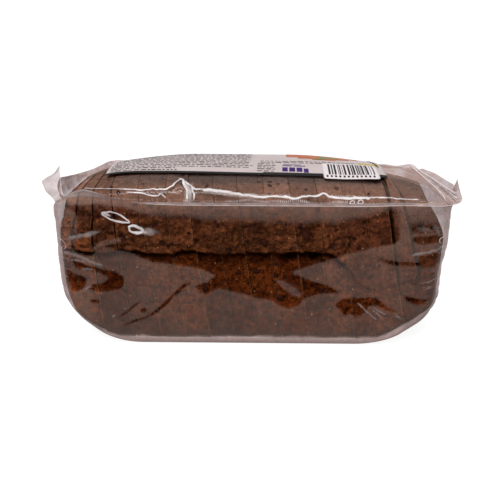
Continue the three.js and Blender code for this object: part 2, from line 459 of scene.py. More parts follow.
def torn_colour(paint, body, rough, plain, grain):
    """`rough` is 1 in the torn band, and `plain` is lower on the smooth top."""
    crumb = paint.noise(3.4, 4, 0.65).eased(0.42, 0.68)
    body = paint.mix_colours((crumb + 0.3 * grain) * rough * 0.6, body, GOLDEN)
    # Painted shade between the torn band's crags.
    shadows = paint.noise(8, 3, 0.6).eased(0.46, 0.33)
    body = paint.mix_colours(shadows * rough * 0.7, body, BLOT_AND_SHADOW_DARK)
    blots = paint.noise(4.6, 3, 0.6).eased(0.40, 0.31)
    body = paint.mix_colours(blots * 0.6 * plain, body, BLOT_AND_SHADOW_DARK)
    # Painted shade in the low places of the fine grain, which the bump also sinks.
    body = paint.mix_colours(grain.eased(0.56, 0.30) * 0.4, body, SHADE_BROWN)
    # Painted shade in pores and pits.
    pores = paint.noise(2.2, 4, 0.75).eased(0.52, 0.30)
    pits = paint.noise(1.7, 3, 0.6).eased(0.45, 0.36)
    holes = pores * 0.45 * plain + pits * rough * 0.4
    body = paint.mix_colours(holes, body, SHADE_BROWN)
    # Painted shade from the mesh: crevice, holes, crags, the band's lip and end, bottom edge, cut
    # faces.
    return paint.mix_colours(paint.mark("hollow"), body, SHADE_BROWN)


print("torn crust is mixed from:", GOLDEN[:3], BLOT_AND_SHADOW_DARK[:3], SHADE_BROWN[:3])

# %% [markdown]
# Fruit just under the crust stains it, and single seeds are tan specks. A Voronoi texture
# cuts space into cells: the distance to a cell's middle draws a round dot, and the cell's own
# random colour picks which cells get one and how large it is.

# %% Stains and specks
STAIN_CELL, SPECK_CELL = 5.2, 3.1


def stains(paint, patchy):
    dots = paint.dots(STAIN_CELL)
    picked = paint.channel(dots.also("Color"), "Red")
    reach = 0.12 + 0.20 * picked.also("Green") + 0.30 * (patchy - 0.5)
    return (reach - dots).eased(-0.02, 0.03) * picked.eased(0.58, 0.62)


def specks(paint):
    dots = paint.dots(SPECK_CELL)
    picked = paint.channel(dots.also("Color"), "Blue")
    return (0.15 - dots).eased(0.0, 0.05) * picked.eased(0.80, 0.85)


print("cells of the stains and specks, mm:", STAIN_CELL, SPECK_CELL)

# %% The whole crust


def crust_finish():
    paint = Finish("dark_crust")
    rough = paint.mark("rough")
    plain = 1 - 0.65 * paint.mark("top")
    patchy = paint.noise(7, 4, 0.6)
    grain = paint.noise(0.9, 3, 0.7)
    body = torn_colour(paint, baked_colour(paint, patchy), rough, plain, grain)
    stain = stains(paint, patchy)
    body = paint.mix_colours(stain * 0.75, body, FRUIT_STAIN)
    body = paint.mix_colours(specks(paint) * 0.8, body, SPECK_TAN)
    mottle = paint.noise(2.9, 4, 0.68).eased(0.39, 0.61)
    grit = paint.noise(1.2, 3, 0.7).eased(0.40, 0.60)
    uneven = plain * (0.88 * mottle + 0.66 * grit - 0.75) * (1 - 0.45 * rough)
    # The `tone` mark also carries painted light on the shoulders and on the two left-end slices.
    value = (0.75 + 0.5 * paint.mark("tone")) * (1 + uneven)
    toned = paint.node("ShaderNodeHueSaturation", None, {"Color": body, "Value": value}, "Color")
    relief = grain * 0.4 + paint.noise(2.6, 3, 0.65) * (0.8 + rough) - stain * 0.6
    return paint.principled({
        "Base Color": toned,
        "Roughness": 0.7 + 0.2 * grain,
        "Normal": paint.bump(relief, 0.8, 0.6),
        "Specular IOR Level": 0.0,
    })


crust = crust_finish()
print("crust nodes:", len(crust.node_tree.nodes))

# %% [markdown]
# ## The loaf before it is cut
# A tin gives the loaf straight sides and a rounded bottom edge. Above the tin the dough rose
# and tore along the side, which leaves a dark crevice and over it a rough, shaggy band, and
# then a smooth rounded top. It could be sculpted, but slices need clean cuts, so the loaf is
# an outline drawn once and swept along. The section below is one half of that outline; the
# crevice, the band and the crags are pressed into it afterwards, because they wander.

# %% Smooth curves through a few places
CLOSED_STEPS, OPEN_STEPS = 24, 16


def smooth_curve(points, count, closed=False):
    """A smooth curve through `points`, as `count` points spaced evenly along it."""
    points = np.array(points, float)
    if closed:
        a, b, c, d = [np.roll(points, shift, axis=0) for shift in (1, 0, -1, -2)]
    else:
        padded = np.vstack([2 * points[0] - points[1], points, 2 * points[-1] - points[-2]])
        a, b, c, d = padded[:-3], padded[1:-2], padded[2:-1], padded[3:]
    steps = CLOSED_STEPS if closed else OPEN_STEPS
    share = np.linspace(0, 1, steps, endpoint=False)[:, None, None]
    curve = 0.5 * (
        2 * b
        + (c - a) * share
        + (2 * a - 5 * b + 4 * c - d) * share**2
        + (3 * b - a - 3 * c + d) * share**3
    )
    curve = curve.transpose(1, 0, 2).reshape(-1, points.shape[1])
    curve = np.vstack([curve, points[:1] if closed else points[-1:]])
    walked = np.concatenate([[0], np.cumsum(np.linalg.norm(np.diff(curve, axis=0), axis=1))])
    even = np.linspace(0, walked[-1], count, endpoint=not closed)
    return np.stack([np.interp(even, walked, column) for column in curve.T], 1)


print("a bend through three places:", smooth_curve([(0, 0), (9, 5), (18, 0)], 5).round(1).tolist())

# %% The loaf's section
SECTION = [  # (across, up), from the bottom's middle to the top's
    (0, 0.9), (35, 0.9), (39.8, 2.2), (42.0, 6.5), (42.6, 13), (42.9, 30), (43.3, 50),
    (43.8, 62), (43.4, 74), (42.4, 82), (39.6, 88), (34.5, 91.4), (26, 94), (12, 95.7), (0, 96.1),
]
SECTION_POINTS = 420


def loaf_section():
    """The whole section from the bottom's middle round the back, and its outward normals."""
    half = SECTION[1:-1]
    ring = [SECTION[0], *half, SECTION[-1], *[(-y, z) for y, z in reversed(half)]]
    points = smooth_curve(ring, SECTION_POINTS, closed=True)
    along = np.roll(points, -1, axis=0) - np.roll(points, 1, axis=0)
    along /= np.linalg.norm(along, axis=1)[:, None]
    return points, np.stack([along[:, 1], -along[:, 0]], axis=1)


section, section_normals = loaf_section()
print("section points:", len(section), "height, mm:", round(float(np.ptp(section[:, 1])), 1))

# %% [markdown]
# ## The loaf from end to end
# Swept straight, that section would give a bar. The real loaf's underside lifts at both ends,
# where the tray is rounded, its heels close like a cushion, the right heel slopes back, and
# the lid presses the top down. Each of these moves the section's points by a formula of x.

# %% Lengthwise shape
LOAF_LEFT, LOAF_RIGHT = -105.6, 107.6
END_REACH_LEFT, END_REACH_RIGHT, END_SQUARENESS = 7.0, 8.0, 3.6
BEND_LEFT, RISE_UNDER_LEFT, CURVE_LEFT = -73.5, 22.5, 1.6
BEND_RIGHT, RISE_UNDER_RIGHT, CURVE_RIGHT = 72.0, 24.0, 1.3
WAIST = 60.0  # above this height the underside's rise no longer lifts anything
END_MIDDLE = 52.0  # the height towards which the ends close
LID_GAP = 1.3
HEEL_SLOPE, LEFT_SLOPE, BACK_PULL = 13.5, 4.5, 0.5
RIGHT_DROP, BACK_DROP, DROP_START, DROP_LENGTH = 4.2, 8.5, 71.0, 10.0


def bottom_rise(x):
    """How high the loaf's underside is: it lies in the tray's big rounded end corners."""
    left = clamp01((BEND_LEFT - x) / (BEND_LEFT - LOAF_LEFT))
    right = clamp01((x - BEND_RIGHT) / (LOAF_RIGHT - BEND_RIGHT))
    return RISE_UNDER_LEFT * left**CURVE_LEFT + RISE_UNDER_RIGHT * right**CURVE_RIGHT


def end_closing(x):
    """The section's scale, 1 along the loaf and 0 at the very ends."""
    left = clamp01((LOAF_LEFT + END_REACH_LEFT - x) / END_REACH_LEFT)
    right = clamp01((x - LOAF_RIGHT + END_REACH_RIGHT) / END_REACH_RIGHT)
    into = np.maximum(left, right)
    return (1 - into**END_SQUARENESS) ** (1 / END_SQUARENESS)


def shape_loaf(x, y, z):
    """Moves a point of the plain section to where the loaf has it at x."""
    # The underside rises into the tray's rounded corners.
    lifted = bottom_rise(x) + z * (WAIST - bottom_rise(x)) / WAIST
    z = np.where(z < WAIST, lifted, z)
    # The ends close from all sides.
    scale = end_closing(x)
    y, z = y * scale, END_MIDDLE + (z - END_MIDDLE) * scale
    # Higher up, the right heel slopes back, and the left end leans in a little.
    slope = HEEL_SLOPE * (0.6 + 0.4 * clamp01(np.abs(y) / 38) ** 2)
    x = x - slope * smooth((z - 62) / 30) * smooth((x - 86) / 20)
    near_left = smooth((-78 - x) / 24)
    x = x + near_left * smooth((z - 58) / 30) * (LEFT_SLOPE + BACK_PULL * pull_at(y))
    # What would touch the lid is pressed down, and the right end lies lower, most at its back.
    over = np.maximum(z - crown_height(x, y) + LID_GAP, 0)
    drop = smooth((x - DROP_START) / DROP_LENGTH) * smooth((z - 55) / 40)
    to_front = 1 - 0.45 * smooth((x - 92) / 8)
    over = over + drop * (RIGHT_DROP * to_front + BACK_DROP * smooth((y + 5) / 45))
    return x, y, z - over * smooth((z - 68) / 14)


print("rise under the ends, mm:", [round(float(bottom_rise(x)), 1) for x in (-100.0, 100.0)])

# %% [markdown]
# ## Relief of the side
# The next functions say how far the crust stands out of, or sinks into, the plain section at
# a place along and up the side: the crevice that dips towards the right end, the shaggy band
# above it and the small step where the band ends under the top crust. Displace modifiers
# could add such relief, too, but here the same numbers also have to be kept as marks, so that
# the crust material knows where to paint shade and where it is torn or smooth.
#
# The crevice comes first. It is a wandering line that gapes here and there, fades out to the
# right, and between two places is torn open into a row of holes.

# %% The crevice
CREVICE_HEIGHT, CREVICE_DEPTH, CREVICE_REACH = 54.3, 2.4, 1.0
CREVICE_DIP, DIP_START, DIP_LENGTH = 21.0, 42.0, 26.0
FADE_START, FADE_LENGTH = 50.0, 12.0
HOLE_DEPTH, HOLE_LEFT, HOLE_RIGHT, HOLE_REACH = 4.5, 11.0, 39.0, 2.3


def crevice_height(x):
    return CREVICE_HEIGHT - CREVICE_DIP * smooth((x - DIP_START) / DIP_LENGTH)


def crevice_fading(x):
    """1 where the crevice is open, 0 where it has closed at the right."""
    return 1 - smooth((x - FADE_START) / FADE_LENGTH)


def crevice(spot, side):
    """The crevice's wandering line, its gape, its row of torn holes, and painted shade under it.
    """
    x, _, z = spot.T
    lane = spot * [1, 0.2, 0]
    wander = 1.3 * noise(lane, 17, 11) + 0.8 * noise(lane, 6, 12) + 0.8 * noise(lane, 2.6, 13)
    line = crevice_height(x) + wander
    fading = crevice_fading(x)
    gape = 0.45 + 0.55 * smooth(0.6 + 0.9 * noise(lane, 9, 14))
    thin = hump(z, line, CREVICE_REACH * (0.6 + 0.7 * gape)) * fading * side * gape
    between = smooth((x - HOLE_LEFT) / 4) * smooth((HOLE_RIGHT - x) / 4) * side
    torn_open = smooth(0.75 + 1.1 * noise(spot * [1, 0.2, 0.6], 4.5, 19))
    holes = hump(z, line - 1.8, HOLE_REACH) * between * torn_open
    # Painted shade under the band's overhang.
    under = hump(z, line - 2.2, 2.2) * fading * side
    return line, thin, holes, under


print("crevice height at the middle and right, mm:", crevice_height(0), crevice_height(80))

# %% [markdown]
# The band lies between the crevice and a ragged upper line, and is rough up to the place where
# it ends under the top crust. The relief and the painted-shade mark are sums of the same few
# humps, so a place that is pressed in is always the place that is painted dark.

# %% The band, and all the relief
BAND_OUT, BAND_TOP, BAND_END = 2.4, 74.0, 51.0
CRAG_DEPTH = 2.0
CRUST_GRAIN = 0.18
BAND_TONE = 0.32


def side_relief(x, y, z):
    """Relief in mm, and 0 to 1 marks for painted shade, for the top crust and for the band."""
    spot = np.stack([x, y, z], axis=1)
    lane = spot * [1, 0.2, 0]
    side = smooth((np.abs(y) - 30) / 8)
    line, thin, holes, under = crevice(spot, side)
    top_line = BAND_TOP + 2.2 * noise(lane, 14, 15) + 0.9 * noise(lane, 4, 16)
    ending = BAND_END + 2.0 * noise(spot * [0, 0.2, 1], 5, 17)
    band = smooth((z - line) / 2.2) * (1 - smooth((z - top_line) / 1.8)) * side
    rough = band * (1 - 0.85 * smooth((x - ending) / 2))
    crags = np.abs(ragged(spot * [0.8, 1, 1.15], 6.5, 21, 4))
    torn = np.abs(ragged(spot * [0.9, 1, 1.1], 3.0, 31, 3))
    fading = crevice_fading(x)
    relief = (
        BAND_OUT * (0.25 * band + 0.75 * rough) * smooth((x + 112) / 14)
        - CREVICE_DEPTH * thin
        - HOLE_DEPTH * holes
        + rough * (CRAG_DEPTH * (np.minimum(crags, 0.7) - 0.4) + 0.9 * (torn - 0.4))
        - 1.4 * side * hump(x, ending + 1.5, 1.6) * hump(z, 63, 9) * fading
        - 1.1 * side * hump(z, top_line + 1.2, 1.3) * smooth((BAND_END - x) / 9)
        + CRUST_GRAIN * ragged(spot, 3.0, 41, 3)
        + 0.4 * noise(spot, 19, 51)
    )
    lip = hump(z, top_line + 1.0, 1.3) * side * smooth((BAND_END - x) / 9)
    lip = lip * smooth(0.5 + noise(lane, 7, 18))
    # Painted shade: in the crevice and its holes, under the band, in low crags, along the band's
    # lip, where the band ends, and along the bottom edge.
    shade = clamp01(
        np.maximum(thin, holes)
        + 0.45 * under
        + rough * 2.1 * (0.25 - crags)
        + 0.45 * lip
        + 0.9 * side * hump(x, ending + 1.2, 1.3) * hump(z, 63, 8) * fading
        + 0.7 * smooth((6.5 + 1.5 * noise(lane, 5, 52) - z) / 3)
    )
    top = np.maximum(smooth((z - 74) / 12), BAND_TONE * smooth((z - line) / 4) * side)
    return relief, shade, top, rough


wall = np.array([[0.0, -43.6, 68.0]])
print("relief in the band, mm:", round(float(side_relief(*wall.T)[0][0]), 2))

# %% [markdown]
# ## Slices
# The loaf was cut while it lay a little askew, so the cuts lean: their tops are nearer the
# left, most of all at the right end. A whole loaf could be cut up with Booleans, but each
# slice is simple to build by itself, between two leaning cuts. It is a hair thinner than the
# pitch, so that a dark line shows between neighbours. The slices at both ends have slipped
# apart, so their gaps are wider, though they close towards the bottom. The heel at the right
# is thin, and its cut curls under it towards the next one.

# %% Where the cuts are
CUT_HEIGHT = 51.5
CUTS = [  # x at the height above, lean in mm per mm of height, gap
    (90.6, -0.27, 2.2), (79.9, -0.19, 2.0), (66.2, -0.145, 0.30), (54.3, -0.14, 0.24),
    (40.8, -0.145, 0.26), (27.0, -0.16, 0.26), (12.3, -0.14, 0.24), (-1.5, -0.15, 0.28),
    (-14.8, -0.14, 0.24), (-28.4, -0.135, 0.34), (-41.2, -0.11, 0.28), (-55.5, -0.12, 0.26),
    (-70.6, -0.10, 0.7), (-84.6, 0.0, 1.3), (-96.2, 0.03, 1.5),
]
FOOT_BEND, BENT_LEFT_OF = 0.0035, -80.0
HEEL_CURL, CURL_BELOW, THINNEST = 0.040, 44.0, 3.2
WIDE_GAP = 1.0
cuts = [(LOAF_RIGHT, 0.0, 0.0), *CUTS, (LOAF_LEFT, 0.0, 0.0)]


def cut_place(cut, z, side):
    """x of a cut's face at height z; side is -1 or 1 for the face left or right of the gap."""
    middle, lean, gap = cut
    below = np.maximum(CUT_HEIGHT - z, 0)
    bend = FOOT_BEND * below**2 * smooth((BENT_LEFT_OF - middle) / 14)
    open_more = 1 - 0.3 * hump(z, 66, 12) * (gap < WIDE_GAP) - 0.3 * smooth((z - 78) / 10)
    open_more = open_more * (1 - 0.9 * smooth((40 - z) / 16) * (gap > WIDE_GAP))
    place = middle + lean * (z - CUT_HEIGHT) + bend
    if cut == CUTS[0]:
        second, second_lean, _ = CUTS[1]
        curled = place - HEEL_CURL * np.maximum(CURL_BELOW - z, 0) ** 2
        place = np.maximum(curled, second + second_lean * (z - CUT_HEIGHT) + THINNEST)
    return place + side * gap * open_more / 2


def pitch(right, left):
    """How thick the slice between two cuts is at the height where they are given."""
    return round(right[0] - left[0], 1)


print("slices from the right, mm:", [pitch(*pair) for pair in zip(cuts, cuts[1:])])

# %% [markdown]
# A slice is a stack of rings, from its right face to its left one. The rings of a cut face
# shrink to its middle, the edge is rounded by two rings close together, and the rings between
# carry the crust's relief. Each slice also sits a fraction of a millimetre off from the next,
# as slices do, and the two at the right end stand up a little.

# %% Rings of one slice
EDGE_ROUND = 0.36
EDGE_CRUMB, FAR_EDGE_CRUMB, CORNER_CRUMB = 0.62, 0.12, 0.45
ROWS_PER_SLICE, MORE_ROWS_AT_ENDS = 19, 9
CAP_RINGS = 4
SWAY, LIFT_LEAST, LIFT_MOST, FOOT_MOST = 0.4, -0.25, 0.35, 0.8


def slice_rings(right, left, rng, raised):
    """Rings of one slice from its right face to its left one, with marks for each point."""
    has_right, has_left = right[0] < LOAF_RIGHT, left[0] > LOAF_LEFT
    inner = np.linspace(0, 1, ROWS_PER_SLICE)
    if not (has_right and has_left):
        turn = np.linspace(0, math.pi, ROWS_PER_SLICE + MORE_ROWS_AT_ENDS)
        inner = 0.5 - 0.5 * np.cos(turn)
    sway, lift = rng.uniform(-SWAY, SWAY), rng.uniform(LIFT_LEAST, LIFT_MOST)
    foot = rng.uniform(0.0, FOOT_MOST)
    rows, marks = [], {"cut": [], "hollow": [], "top": [], "rough": []}
    y0, z0 = section.T
    face_right, face_left = cut_place(right, z0, -1), cut_place(left, z0, 1)

    def ring(x, inset, share_to_middle=0.0):
        y, z = y0 - section_normals[:, 0] * inset, z0 - section_normals[:, 1] * inset
        relief, hollow, top, rough = side_relief(x, y, z)
        y = y + section_normals[:, 0] * relief
        z = z + section_normals[:, 1] * relief
        x, y, z = shape_loaf(x, y, z)
        middle_z = z.mean()
        y, z = y * (1 - share_to_middle), mix(z, middle_z, share_to_middle)
        z = z + lift * smooth((z - 10) / 40) + foot * smooth((14 - z) / 8)
        z = z + raised * smooth((z - 66) / 20) * (1 - smooth((x - 92) / 7))
        return np.stack([x, y + sway, z], axis=1), hollow, top, rough

    def add(x, inset, cut, share_to_middle=0.0):
        points, hollow, top, rough = ring(x, inset, share_to_middle)
        rows.append(points)
        marks["cut"].append(np.full(len(points), cut))
        # Cut faces, which look into the gap to the next slice, get half painted shade.
        marks["hollow"].append(np.maximum(hollow * (1 - cut), 0.5 if cut == 1.0 else 0.0))
        marks["top"].append(top)
        marks["rough"].append(rough * (1 - cut))

    if has_right:
        for share in np.linspace(1, 0, CAP_RINGS + 1)[1:]:
            add(face_right, EDGE_ROUND, 1.0, share * 0.999)
        add(face_right, EDGE_ROUND * 0.45, CORNER_CRUMB)
    for k, share in enumerate(inner):
        x, inset, crumb = mix(face_right, face_left, share), 0.0, 0.0
        if has_right and k == 0:
            x, inset, crumb = face_right - EDGE_ROUND * 0.7, 0.05, EDGE_CRUMB
        if has_left and k == len(inner) - 1:
            x, inset, crumb = face_left + EDGE_ROUND * 0.7, 0.05, FAR_EDGE_CRUMB
        add(x, inset, crumb)
    if has_left:
        add(face_left, EDGE_ROUND * 0.45, CORNER_CRUMB)
        for share in np.linspace(0, 1, CAP_RINGS + 1)[:-1]:
            add(face_left, EDGE_ROUND, 1.0, share)
    return np.concatenate(rows), {k: np.concatenate(v) for k, v in marks.items()}, len(rows)


print("rings in a middle slice:", ROWS_PER_SLICE + 2 * (CAP_RINGS + 1))

# %% [markdown]
# No two slices of a loaf have quite the same tone, because each was baked a little nearer to
# or farther from the oven's wall. A number per slice, stored as one more mark, lets a single
# material show that, where a material per slice would be sixteen to keep in step. The same mark
# also carries painted light: a lighter shoulder along the sides, and the two slices at the
# left end lightened.

# %% All slices
TONE_LEAST, TONE_MOST = 0.1, 0.9
# Slices 14 and 15 at the left end are lightened as painted light, since that end faces away from
# the sun; the other values are the slices' own tones.
END_TONES_AND_PAINTED_LIGHT = {1: 0.9, 2: 0.7, 3: 0.6, 14: 1.5, 15: 2.5}  # slices counted from the right, from 0
END_LIFTS = {0: 1.6, 1: 2.2}
# Painted light: the side just under the top is lightened, where it faces the sun less than the
# top.
SHOULDER_PAINTED_LIGHT, SHOULDER_HEIGHT, SHOULDER_REACH, SHOULDER_FROM = 0.7, 80, 7, 36
# The painted light of the two left-end slices is taken off again on their top.
LEFT_TOP_DIM, DIM_SLICES, DIM_FROM, DIM_LENGTH = 0.9, (14, 15), 62, 8


def cut_slices():
    rng = np.random.default_rng(7)
    made = []
    for number, (right, left) in enumerate(zip(cuts, cuts[1:])):
        raised = END_LIFTS.get(number, 0.0)
        points, marks, rows = slice_rings(right, left, rng, raised)
        faces = ring_grid(rows, SECTION_POINTS).tolist()
        faces.append(list(range(SECTION_POINTS))[::-1])
        faces.append(list(range((rows - 1) * SECTION_POINTS, rows * SECTION_POINTS)))
        _, y, z = points.T
        tone = END_TONES_AND_PAINTED_LIGHT.get(number, rng.uniform(TONE_LEAST, TONE_MOST))
        shoulder = hump(z, SHOULDER_HEIGHT, SHOULDER_REACH)
        shoulder = shoulder * smooth((np.abs(y) - SHOULDER_FROM) / 4)
        dim = LEFT_TOP_DIM * (number in DIM_SLICES) * smooth((z - DIM_FROM) / DIM_LENGTH)
        # Each slice's own tone, plus painted light on its shoulder and at the left end.
        marks["tone"] = tone + SHOULDER_PAINTED_LIGHT * shoulder - dim
        piece = make_piece(f"slice_{number + 1:02d}", points, faces, crust, marks)
        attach(piece, "root")
        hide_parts("pack")
        made.append(piece)
    return made


slices = cut_slices()
print("slices:", len(slices), "points each:", len(slices[3].data.vertices))

# %% [markdown]
# ## Fruit and crumbs in the crust
# Small dark bits of fruit sit in the crust, a little proud of it, and a few tan crumbs cling
# to it. Painting them would leave the outline flat, and a particle system is lost when the
# mesh is exported. So each is a small squashed ball set into the surface where a ray from
# outside meets the loaf, and all of one kind are one joined mesh.

# %% A search tree, and a ball
CUT_FACE = 5  # a face with this many corners or more closes a cut and is left out


def tree_of(pieces):
    """One search tree over several meshes, in metres."""
    points, faces = [], []
    for piece in pieces:
        start = len(points)
        points += [v.co.copy() for v in piece.data.vertices]
        for face in piece.data.polygons:
            if len(face.vertices) < CUT_FACE:
                faces.append([start + i for i in face.vertices])
    return BVHTree.FromPolygons(points, faces)


loaf_tree = tree_of(slices)


def ball(rings, around):
    """Points and faces of a unit ball."""
    tilt = np.linspace(0, math.pi, rings + 2)[1:-1]
    turn = np.linspace(0, 2 * math.pi, around, endpoint=False)
    ring = [[math.sin(t) * math.cos(a), math.sin(t) * math.sin(a), math.cos(t)]
            for t in tilt for a in turn]
    points = np.array([*ring, [0, 0, 1], [0, 0, -1]])
    faces = ring_grid(rings, around)[:, ::-1].tolist()
    top, bottom, last = rings * around, rings * around + 1, (rings - 1) * around
    for k in range(around):
        after = (k + 1) % around
        faces += [[top, k, after], [bottom, last + after, last + k]]
    return points, faces


print("corners of a small ball:", len(ball(3, 6)[0]))

# %% Scatter on the crust
LOOK_FROM = 120.0  # rays start this far out
CHOSEN_LARGER = 1.6
LUMPS, LUMP_SIZE = 0.22, 0.9


def scatter(name, count, radius, squash, sunk, material, seed, chosen=(), rings=5, around=9):
    """Squashed balls of `radius` (a range, mm) set into the loaf; the chosen places first."""
    rng = np.random.default_rng(seed)
    unit, unit_faces = ball(rings, around)
    points, faces, waiting = [], [], list(chosen)
    while len(faces) < count * len(unit_faces):
        along, turn = rng.uniform(-100, 100), rng.uniform(0, 2 * math.pi)
        start = Vector((along, LOOK_FROM * math.cos(turn), 50 + LOOK_FROM * math.sin(turn)))
        aim = Vector((along + rng.uniform(-20, 20), 0, rng.uniform(25, 75))) - start
        larger = 1.0
        if waiting:
            along, up = waiting.pop()
            start, aim, larger = Vector((along, -LOOK_FROM, up)), Vector((0, 1, 0)), CHOSEN_LARGER
        hit, normal, _, _ = loaf_tree.ray_cast(start * MM, aim.normalized())
        if hit is None:
            continue
        size = rng.uniform(*radius) * larger
        stretch = Matrix.Diagonal((size, size * rng.uniform(0.6, 1.0), size * squash))
        turned = Vector((0, 0, 1)).rotation_difference(normal).to_matrix()
        spin = Matrix.Rotation(rng.uniform(0, math.pi), 3, "Z")
        place = np.array(turned @ spin @ stretch)
        lumps = noise(unit + rng.uniform(0, 9, 3), LUMP_SIZE, seed)
        lumpy = unit * (1 + LUMPS * lumps[:, None])
        middle = np.array(hit) / MM - np.array(normal) * size * squash * sunk
        base = sum(len(p) for p in points)
        points.append(lumpy @ place.T + middle)
        faces += [[base + i for i in f] for f in unit_faces]
    return make_piece(name, np.concatenate(points), faces, material)


print("rays start, mm from the loaf's axis:", LOOK_FROM)

# %% [markdown]
# Small things need only a simple finish: two tones mixed by a fine grain that also tilts the
# surface a little. The inks, the label and the sticker use the same one later.

# %% A plain finish


def plain_finish(name, colour, second, roughness, size=2.0, bump=0.15, shine=0.1):
    """A finish with two tones and a fine grain, for small pieces, paper and inks."""
    paint = Finish(name)
    grain = paint.noise(size, 3, 0.6)
    return paint.principled({
        "Base Color": paint.mix_colours(grain.eased(0.3, 0.7), colour, second),
        "Roughness": roughness + 0.12 * (grain - 0.5),
        "Normal": paint.bump(grain, bump, 0.1),
        "Specular IOR Level": shine,
    })


fruit = plain_finish("dried_fruit", rgb(0.030, 0.008, 0.005), rgb(0.052, 0.016, 0.010), 0.8,
                     shine=0.0)
crumb = plain_finish("loose_crumb", rgb(0.34, 0.19, 0.08), rgb(0.50, 0.32, 0.15), 0.8, 0.6,
                     shine=0.0)
print("finishes:", fruit.name, crumb.name)

# %% Fruit and crumbs
BITS_FRUIT, BITS_CRUMB = 210, 170
FRUIT_IN_FRONT = [  # (along, up) of the larger fruit in the front crust
    (3.5, 44.5), (-24.9, 34), (-36.1, 31.4), (-37.2, 40.1), (-14.9, 19.6), (-17, 12.8),
    (-19.5, 10.1), (-39.7, 12.2), (19.1, 41.2), (23.7, 41.9), (17, 28.8), (26.7, 18.2),
    (39.2, 23.8), (40.3, 33.4), (42.3, 32.1), (18, 13.9), (78.4, 46.4), (-55.4, 26.7),
    (-62.1, 41.5), (-57.3, 42.1), (-90.9, 39.6), (-92.6, 79.8), (-52.3, 20.4), (84.2, 74),
    (75.4, 79.3), (91.1, 72.7), (-44, 60), (8, 62), (30, 66), (-70, 66),
]
fruit_bits = scatter("fruit_bits", BITS_FRUIT, (0.6, 1.6), 0.25, 0.45, fruit, 5, FRUIT_IN_FRONT)
crumb_bits = scatter("crumb_bits", BITS_CRUMB, (0.2, 0.45), 0.5, 0.2, crumb, 6, (), 3, 6)
for piece in (fruit_bits, crumb_bits):
    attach(piece, "root")
    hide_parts("pack")
print("fruit bits:", BITS_FRUIT, "crumbs:", BITS_CRUMB)

# %% [markdown]
# ## Clear film
# Film shows itself in two ways. Where it lies on the bread it is almost invisible and the
# crust looks dark and rich; where it stands off, it is a little cloudy and mirrors the room,
# which veils the crust with grey. A glass shader would bend the light and turn noisy, so clear
# film is a Transparent shader with a Glossy one laid over it. The mesh carries marks: `haze`
# mixes in a cloudy part, `pale` makes that part whiter, as in welds and in the painted
# highlights of creases and edges, `tint` dims what is seen through, `shade` paints the label's
# cool shadow and cools the bare film, and `gloss` mixes in the mirror by Fresnel's law. Seen
# from its back a thin sheet would count as dense glass, so the Fresnel part is only used on
# the front.

# %% Film material
HAZE_PINK = rgb(0.50, 0.285, 0.21)
HAZE_PALE = rgb(0.80, 0.68, 0.68)
TINT = rgb(0.65, 0.57, 0.58)
SHADOW = rgb(0.62, 0.74, 0.86)
FILM_ROUGHNESS = 0.11
FILM_IOR = 1.5
MIRROR_BEHIND = 0.05


def film_finish(name, haze_pale=HAZE_PALE):
    paint = Finish(name)
    smear = paint.noise(7, 5, 0.7).eased(0.3, 0.7)

    def diffuse(colour):
        return paint.node("ShaderNodeBsdfDiffuse", None, {"Color": colour}, "BSDF")

    def see_through(colour):
        return paint.node("ShaderNodeBsdfTransparent", None, {"Color": colour}, "BSDF")

    cloudy = paint.mix_shaders(paint.mark("pale"), diffuse(HAZE_PINK), diffuse(haze_pale))
    clear = paint.mix_shaders(paint.mark("tint"), see_through(rgb(1, 1, 1)), see_through(TINT))
    clear = paint.mix_shaders(paint.mark("shade"), clear, see_through(SHADOW))
    body = paint.mix_shaders(paint.mark("haze") * (0.72 + 0.56 * smear), clear, cloudy)
    fine = paint.bump(paint.noise(5, 3, 0.6), 0.12, 0.25)
    glossy = {"Color": rgb(1, 1, 1), "Roughness": FILM_ROUGHNESS, "Normal": fine}
    mirror = paint.node("ShaderNodeBsdfAnisotropic", None, glossy, "BSDF")
    fresnel = paint.node("ShaderNodeFresnel", None, {"IOR": FILM_IOR}, "Fac")
    behind = paint.node("ShaderNodeNewGeometry", None, None, "Backfacing")
    sheen = fresnel * (1 - behind) + MIRROR_BEHIND * behind
    return paint.finish(paint.mix_shaders(sheen * paint.mark("gloss"), body, mirror))


film = film_finish("clear_film")
print("film nodes:", len(film.node_tree.nodes))

# %% [markdown]
# ## Where the film clings
# Sealed under a little vacuum, the tray clings to the loaf in patches. On the front wall the
# big patch covers the shaggy band and reaches down into the lower half in two tongues, with
# two small veils left inside it. Noise could place such patches, and does so on the other
# walls, but here their shape matters. So each is a smooth outline through a few places
# (along, up) on the wall, in millimetres.

# %% Patches on the front wall
BAND_PATCH = [
    (-98, 82), (-83, 83), (-66, 82), (-53, 78), (-34, 77), (-12, 75), (22, 74), (46, 75),
    (62, 78), (72, 82), (76, 82), (78, 73), (78, 64), (68, 61), (54, 57), (48, 55), (41, 52),
    (32, 49), (26, 47), (23, 45), (27, 43), (35, 40), (42, 38), (48, 35), (50, 33), (45, 33),
    (37, 32), (30, 29), (28, 26), (25, 24), (22, 23), (19, 24), (14, 27), (9, 29), (3, 30),
    (-3, 32), (-8, 33), (-12, 34), (-18, 35), (-23, 32), (-25, 32), (-29, 35), (-29, 37),
    (-23, 39), (-21, 41), (-19, 43), (-23, 45), (-28, 47), (-37, 49), (-45, 50), (-54, 51),
    (-62, 55), (-71, 58), (-80, 59), (-86, 54), (-93, 56), (-96, 59), (-93, 63), (-92, 68),
    (-91, 74), (-92, 79),
]
VEILS_INSIDE = [
    [(14.8, 39.9), (18.2, 40.5), (21.5, 38.2), (26, 35.2), (28.3, 32.6), (29, 30.1),
     (26.2, 30.4), (22.3, 32.2), (18.3, 35.8)],
    [(-84.7, 56.5), (-83.1, 60.6), (-78.3, 63.4), (-71.8, 65.2), (-68, 64.2), (-70.7, 62.4),
     (-76, 60.7), (-82.7, 57.9)],
]
print("places of the large patch:", len(BAND_PATCH), "veils inside it:", len(VEILS_INSIDE))

